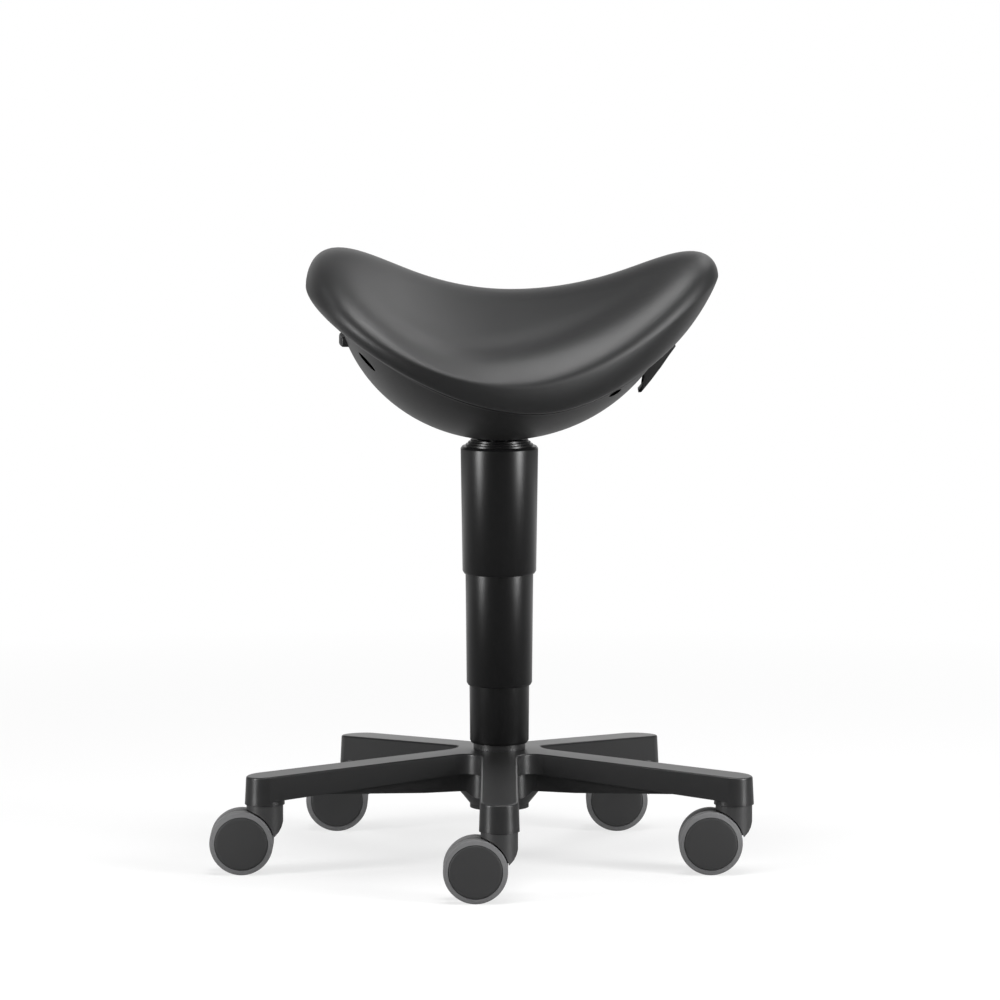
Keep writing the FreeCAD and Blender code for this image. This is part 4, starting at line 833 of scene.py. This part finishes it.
studioFloor = {
    "radius": 40.0, "segments": 96, "color": (0.86, 0.86, 0.86),
    "shadowShare": 0.30, "fade": (0.7, 1.8),        # how much shadow shows, and where it fades out
    "nearDim": (-0.2, 1.6), "nearLevel": 0.06,      # along Y, as reflections see the floor
    "farDim": (1.6, 3.0), "farLevel": 0.30,
}
surroundings = {"frontLevel": 0.03, "backLevel": 1.00, "rise": (0.74, 1.0)}
softBoxTarget = Vector((0, 0, 0.40))
softBoxes = {
    "leftBox": {"place": (-2.5, -1.3, 0.8), "size": (0.7, 2.0), "power": 75.0},
    "rightBox": {"place": (2.5, -1.3, 1.0), "size": (0.8, 2.0), "power": 85.0},
    "topBox": {"place": (0.1, -0.4, 3.0), "size": (1.6, 0.7), "power": 62.0},
    "highLeftBox": {"place": (-2.0, 0.4, 2.3), "size": (0.9, 0.9), "power": 6.0},
    "highBackBox": {"place": (1.30, 1.7, 2.5), "size": (1.2, 1.2), "power": 17.0},
}
studioCamera = {
    "place": (0.00065, -7.5446, 1.2551), "pitch": 6.663,
    "focalLength": 266.65, "sensorWidth": 36.0, "farthest": 200.0,
}


def paintFloor():
    # pale paint that keeps a part of the shadow, and a white glow for the eye and for reflections
    material = bpy.data.materials.new("studioFloorPaint")
    material.use_nodes = True
    tree = material.node_tree
    tree.nodes.clear()
    paint = tree.nodes.new("ShaderNodeBsdfDiffuse")
    paint.inputs["Color"].default_value = (*studioFloor["color"], 1)
    glow = tree.nodes.new("ShaderNodeEmission")
    path = tree.nodes.new("ShaderNodeLightPath").outputs
    place = tree.nodes.new("ShaderNodeTexCoord").outputs["Object"]
    reach = tree.nodes.new("ShaderNodeVectorMath")
    reach.operation = "LENGTH"
    tree.links.new(place, reach.inputs[0])
    fade = rangeNode(tree, reach.outputs["Value"], studioFloor["fade"], (1 - studioFloor["shadowShare"], 1.0))
    depth = splitNode(tree, place)["Y"]
    nearSide = rangeNode(tree, depth, studioFloor["nearDim"], (studioFloor["nearLevel"], 1.0))
    farSide = rangeNode(tree, depth, studioFloor["farDim"], (1.0, studioFloor["farLevel"]))
    mirrored = mathNode(tree, "MULTIPLY", path["Is Glossy Ray"], nearSide)
    mirrored = mathNode(tree, "MULTIPLY", mirrored, farSide)
    direct = mathNode(tree, "SUBTRACT", 1.0, path["Is Glossy Ray"])
    tree.links.new(mathNode(tree, "ADD", direct, mirrored), glow.inputs["Strength"])
    seen = mathNode(tree, "MAXIMUM", path["Is Camera Ray"], path["Is Transmission Ray"])
    seen = mathNode(tree, "MULTIPLY", seen, fade)
    seen = mathNode(tree, "MAXIMUM", seen, path["Is Glossy Ray"])
    shown = shaderMix(tree, seen, paint.outputs["BSDF"], glow.outputs["Emission"])
    tree.links.new(shown, tree.nodes.new("ShaderNodeOutputMaterial").inputs["Surface"])
    return material


def buildFloor():
    mesh = bmesh.new()
    bmesh.ops.create_circle(mesh, cap_ends=True, segments=studioFloor["segments"],
                            radius=studioFloor["radius"])
    data = bpy.data.meshes.new("studioFloor")
    mesh.to_mesh(data)
    mesh.free()
    data.materials.append(paintFloor())
    floor = bpy.data.objects.new("studioFloor", data)
    bpy.context.scene.collection.objects.link(floor)


def buildWorld():
    # white to the eye; as light, a dark room that brightens smoothly towards its far wall
    world = bpy.data.worlds.new("studioWorld")
    bpy.context.scene.world = world
    world.use_nodes = True
    tree = world.node_tree
    tree.nodes.clear()
    direction = tree.nodes.new("ShaderNodeTexCoord").outputs["Generated"]
    level = rangeNode(tree, splitNode(tree, direction)["Y"], surroundings["rise"],
                      (surroundings["frontLevel"], surroundings["backLevel"]), "SMOOTHSTEP")
    walls = tree.nodes.new("ShaderNodeBackground")
    tree.links.new(level, walls.inputs["Color"])
    white = tree.nodes.new("ShaderNodeBackground")
    path = tree.nodes.new("ShaderNodeLightPath").outputs
    seen = mathNode(tree, "MAXIMUM", path["Is Camera Ray"], path["Is Transmission Ray"])
    shown = shaderMix(tree, seen, walls.outputs["Background"], white.outputs["Background"])
    tree.links.new(shown, tree.nodes.new("ShaderNodeOutputWorld").inputs["Surface"])


def buildLights():
    for name, values in softBoxes.items():
        lamp = bpy.data.lights.new(name, "AREA")
        lamp.shape = "RECTANGLE"
        lamp.size, lamp.size_y = values["size"]
        lamp.energy = values["power"]
        box = bpy.data.objects.new(name, lamp)
        box.location = values["place"]
        box.rotation_euler = (softBoxTarget - box.location).to_track_quat("-Z", "Y").to_euler()
        box.visible_camera = False
        bpy.context.scene.collection.objects.link(box)


def buildCamera():
    lens = bpy.data.cameras.new("studioCamera")
    lens.sensor_width = studioCamera["sensorWidth"]
    lens.lens = studioCamera["focalLength"]
    lens.clip_end = studioCamera["farthest"]
    camera = bpy.data.objects.new("studioCamera", lens)
    camera.location = studioCamera["place"]
    camera.rotation_euler = (math.radians(90.0 - studioCamera["pitch"]), 0, 0)
    bpy.context.scene.collection.objects.link(camera)
    bpy.context.scene.camera = camera


buildFloor()
buildWorld()
buildLights()
buildCamera()
bpy.context.scene.view_settings.view_transform = "Standard"
print("studio made")
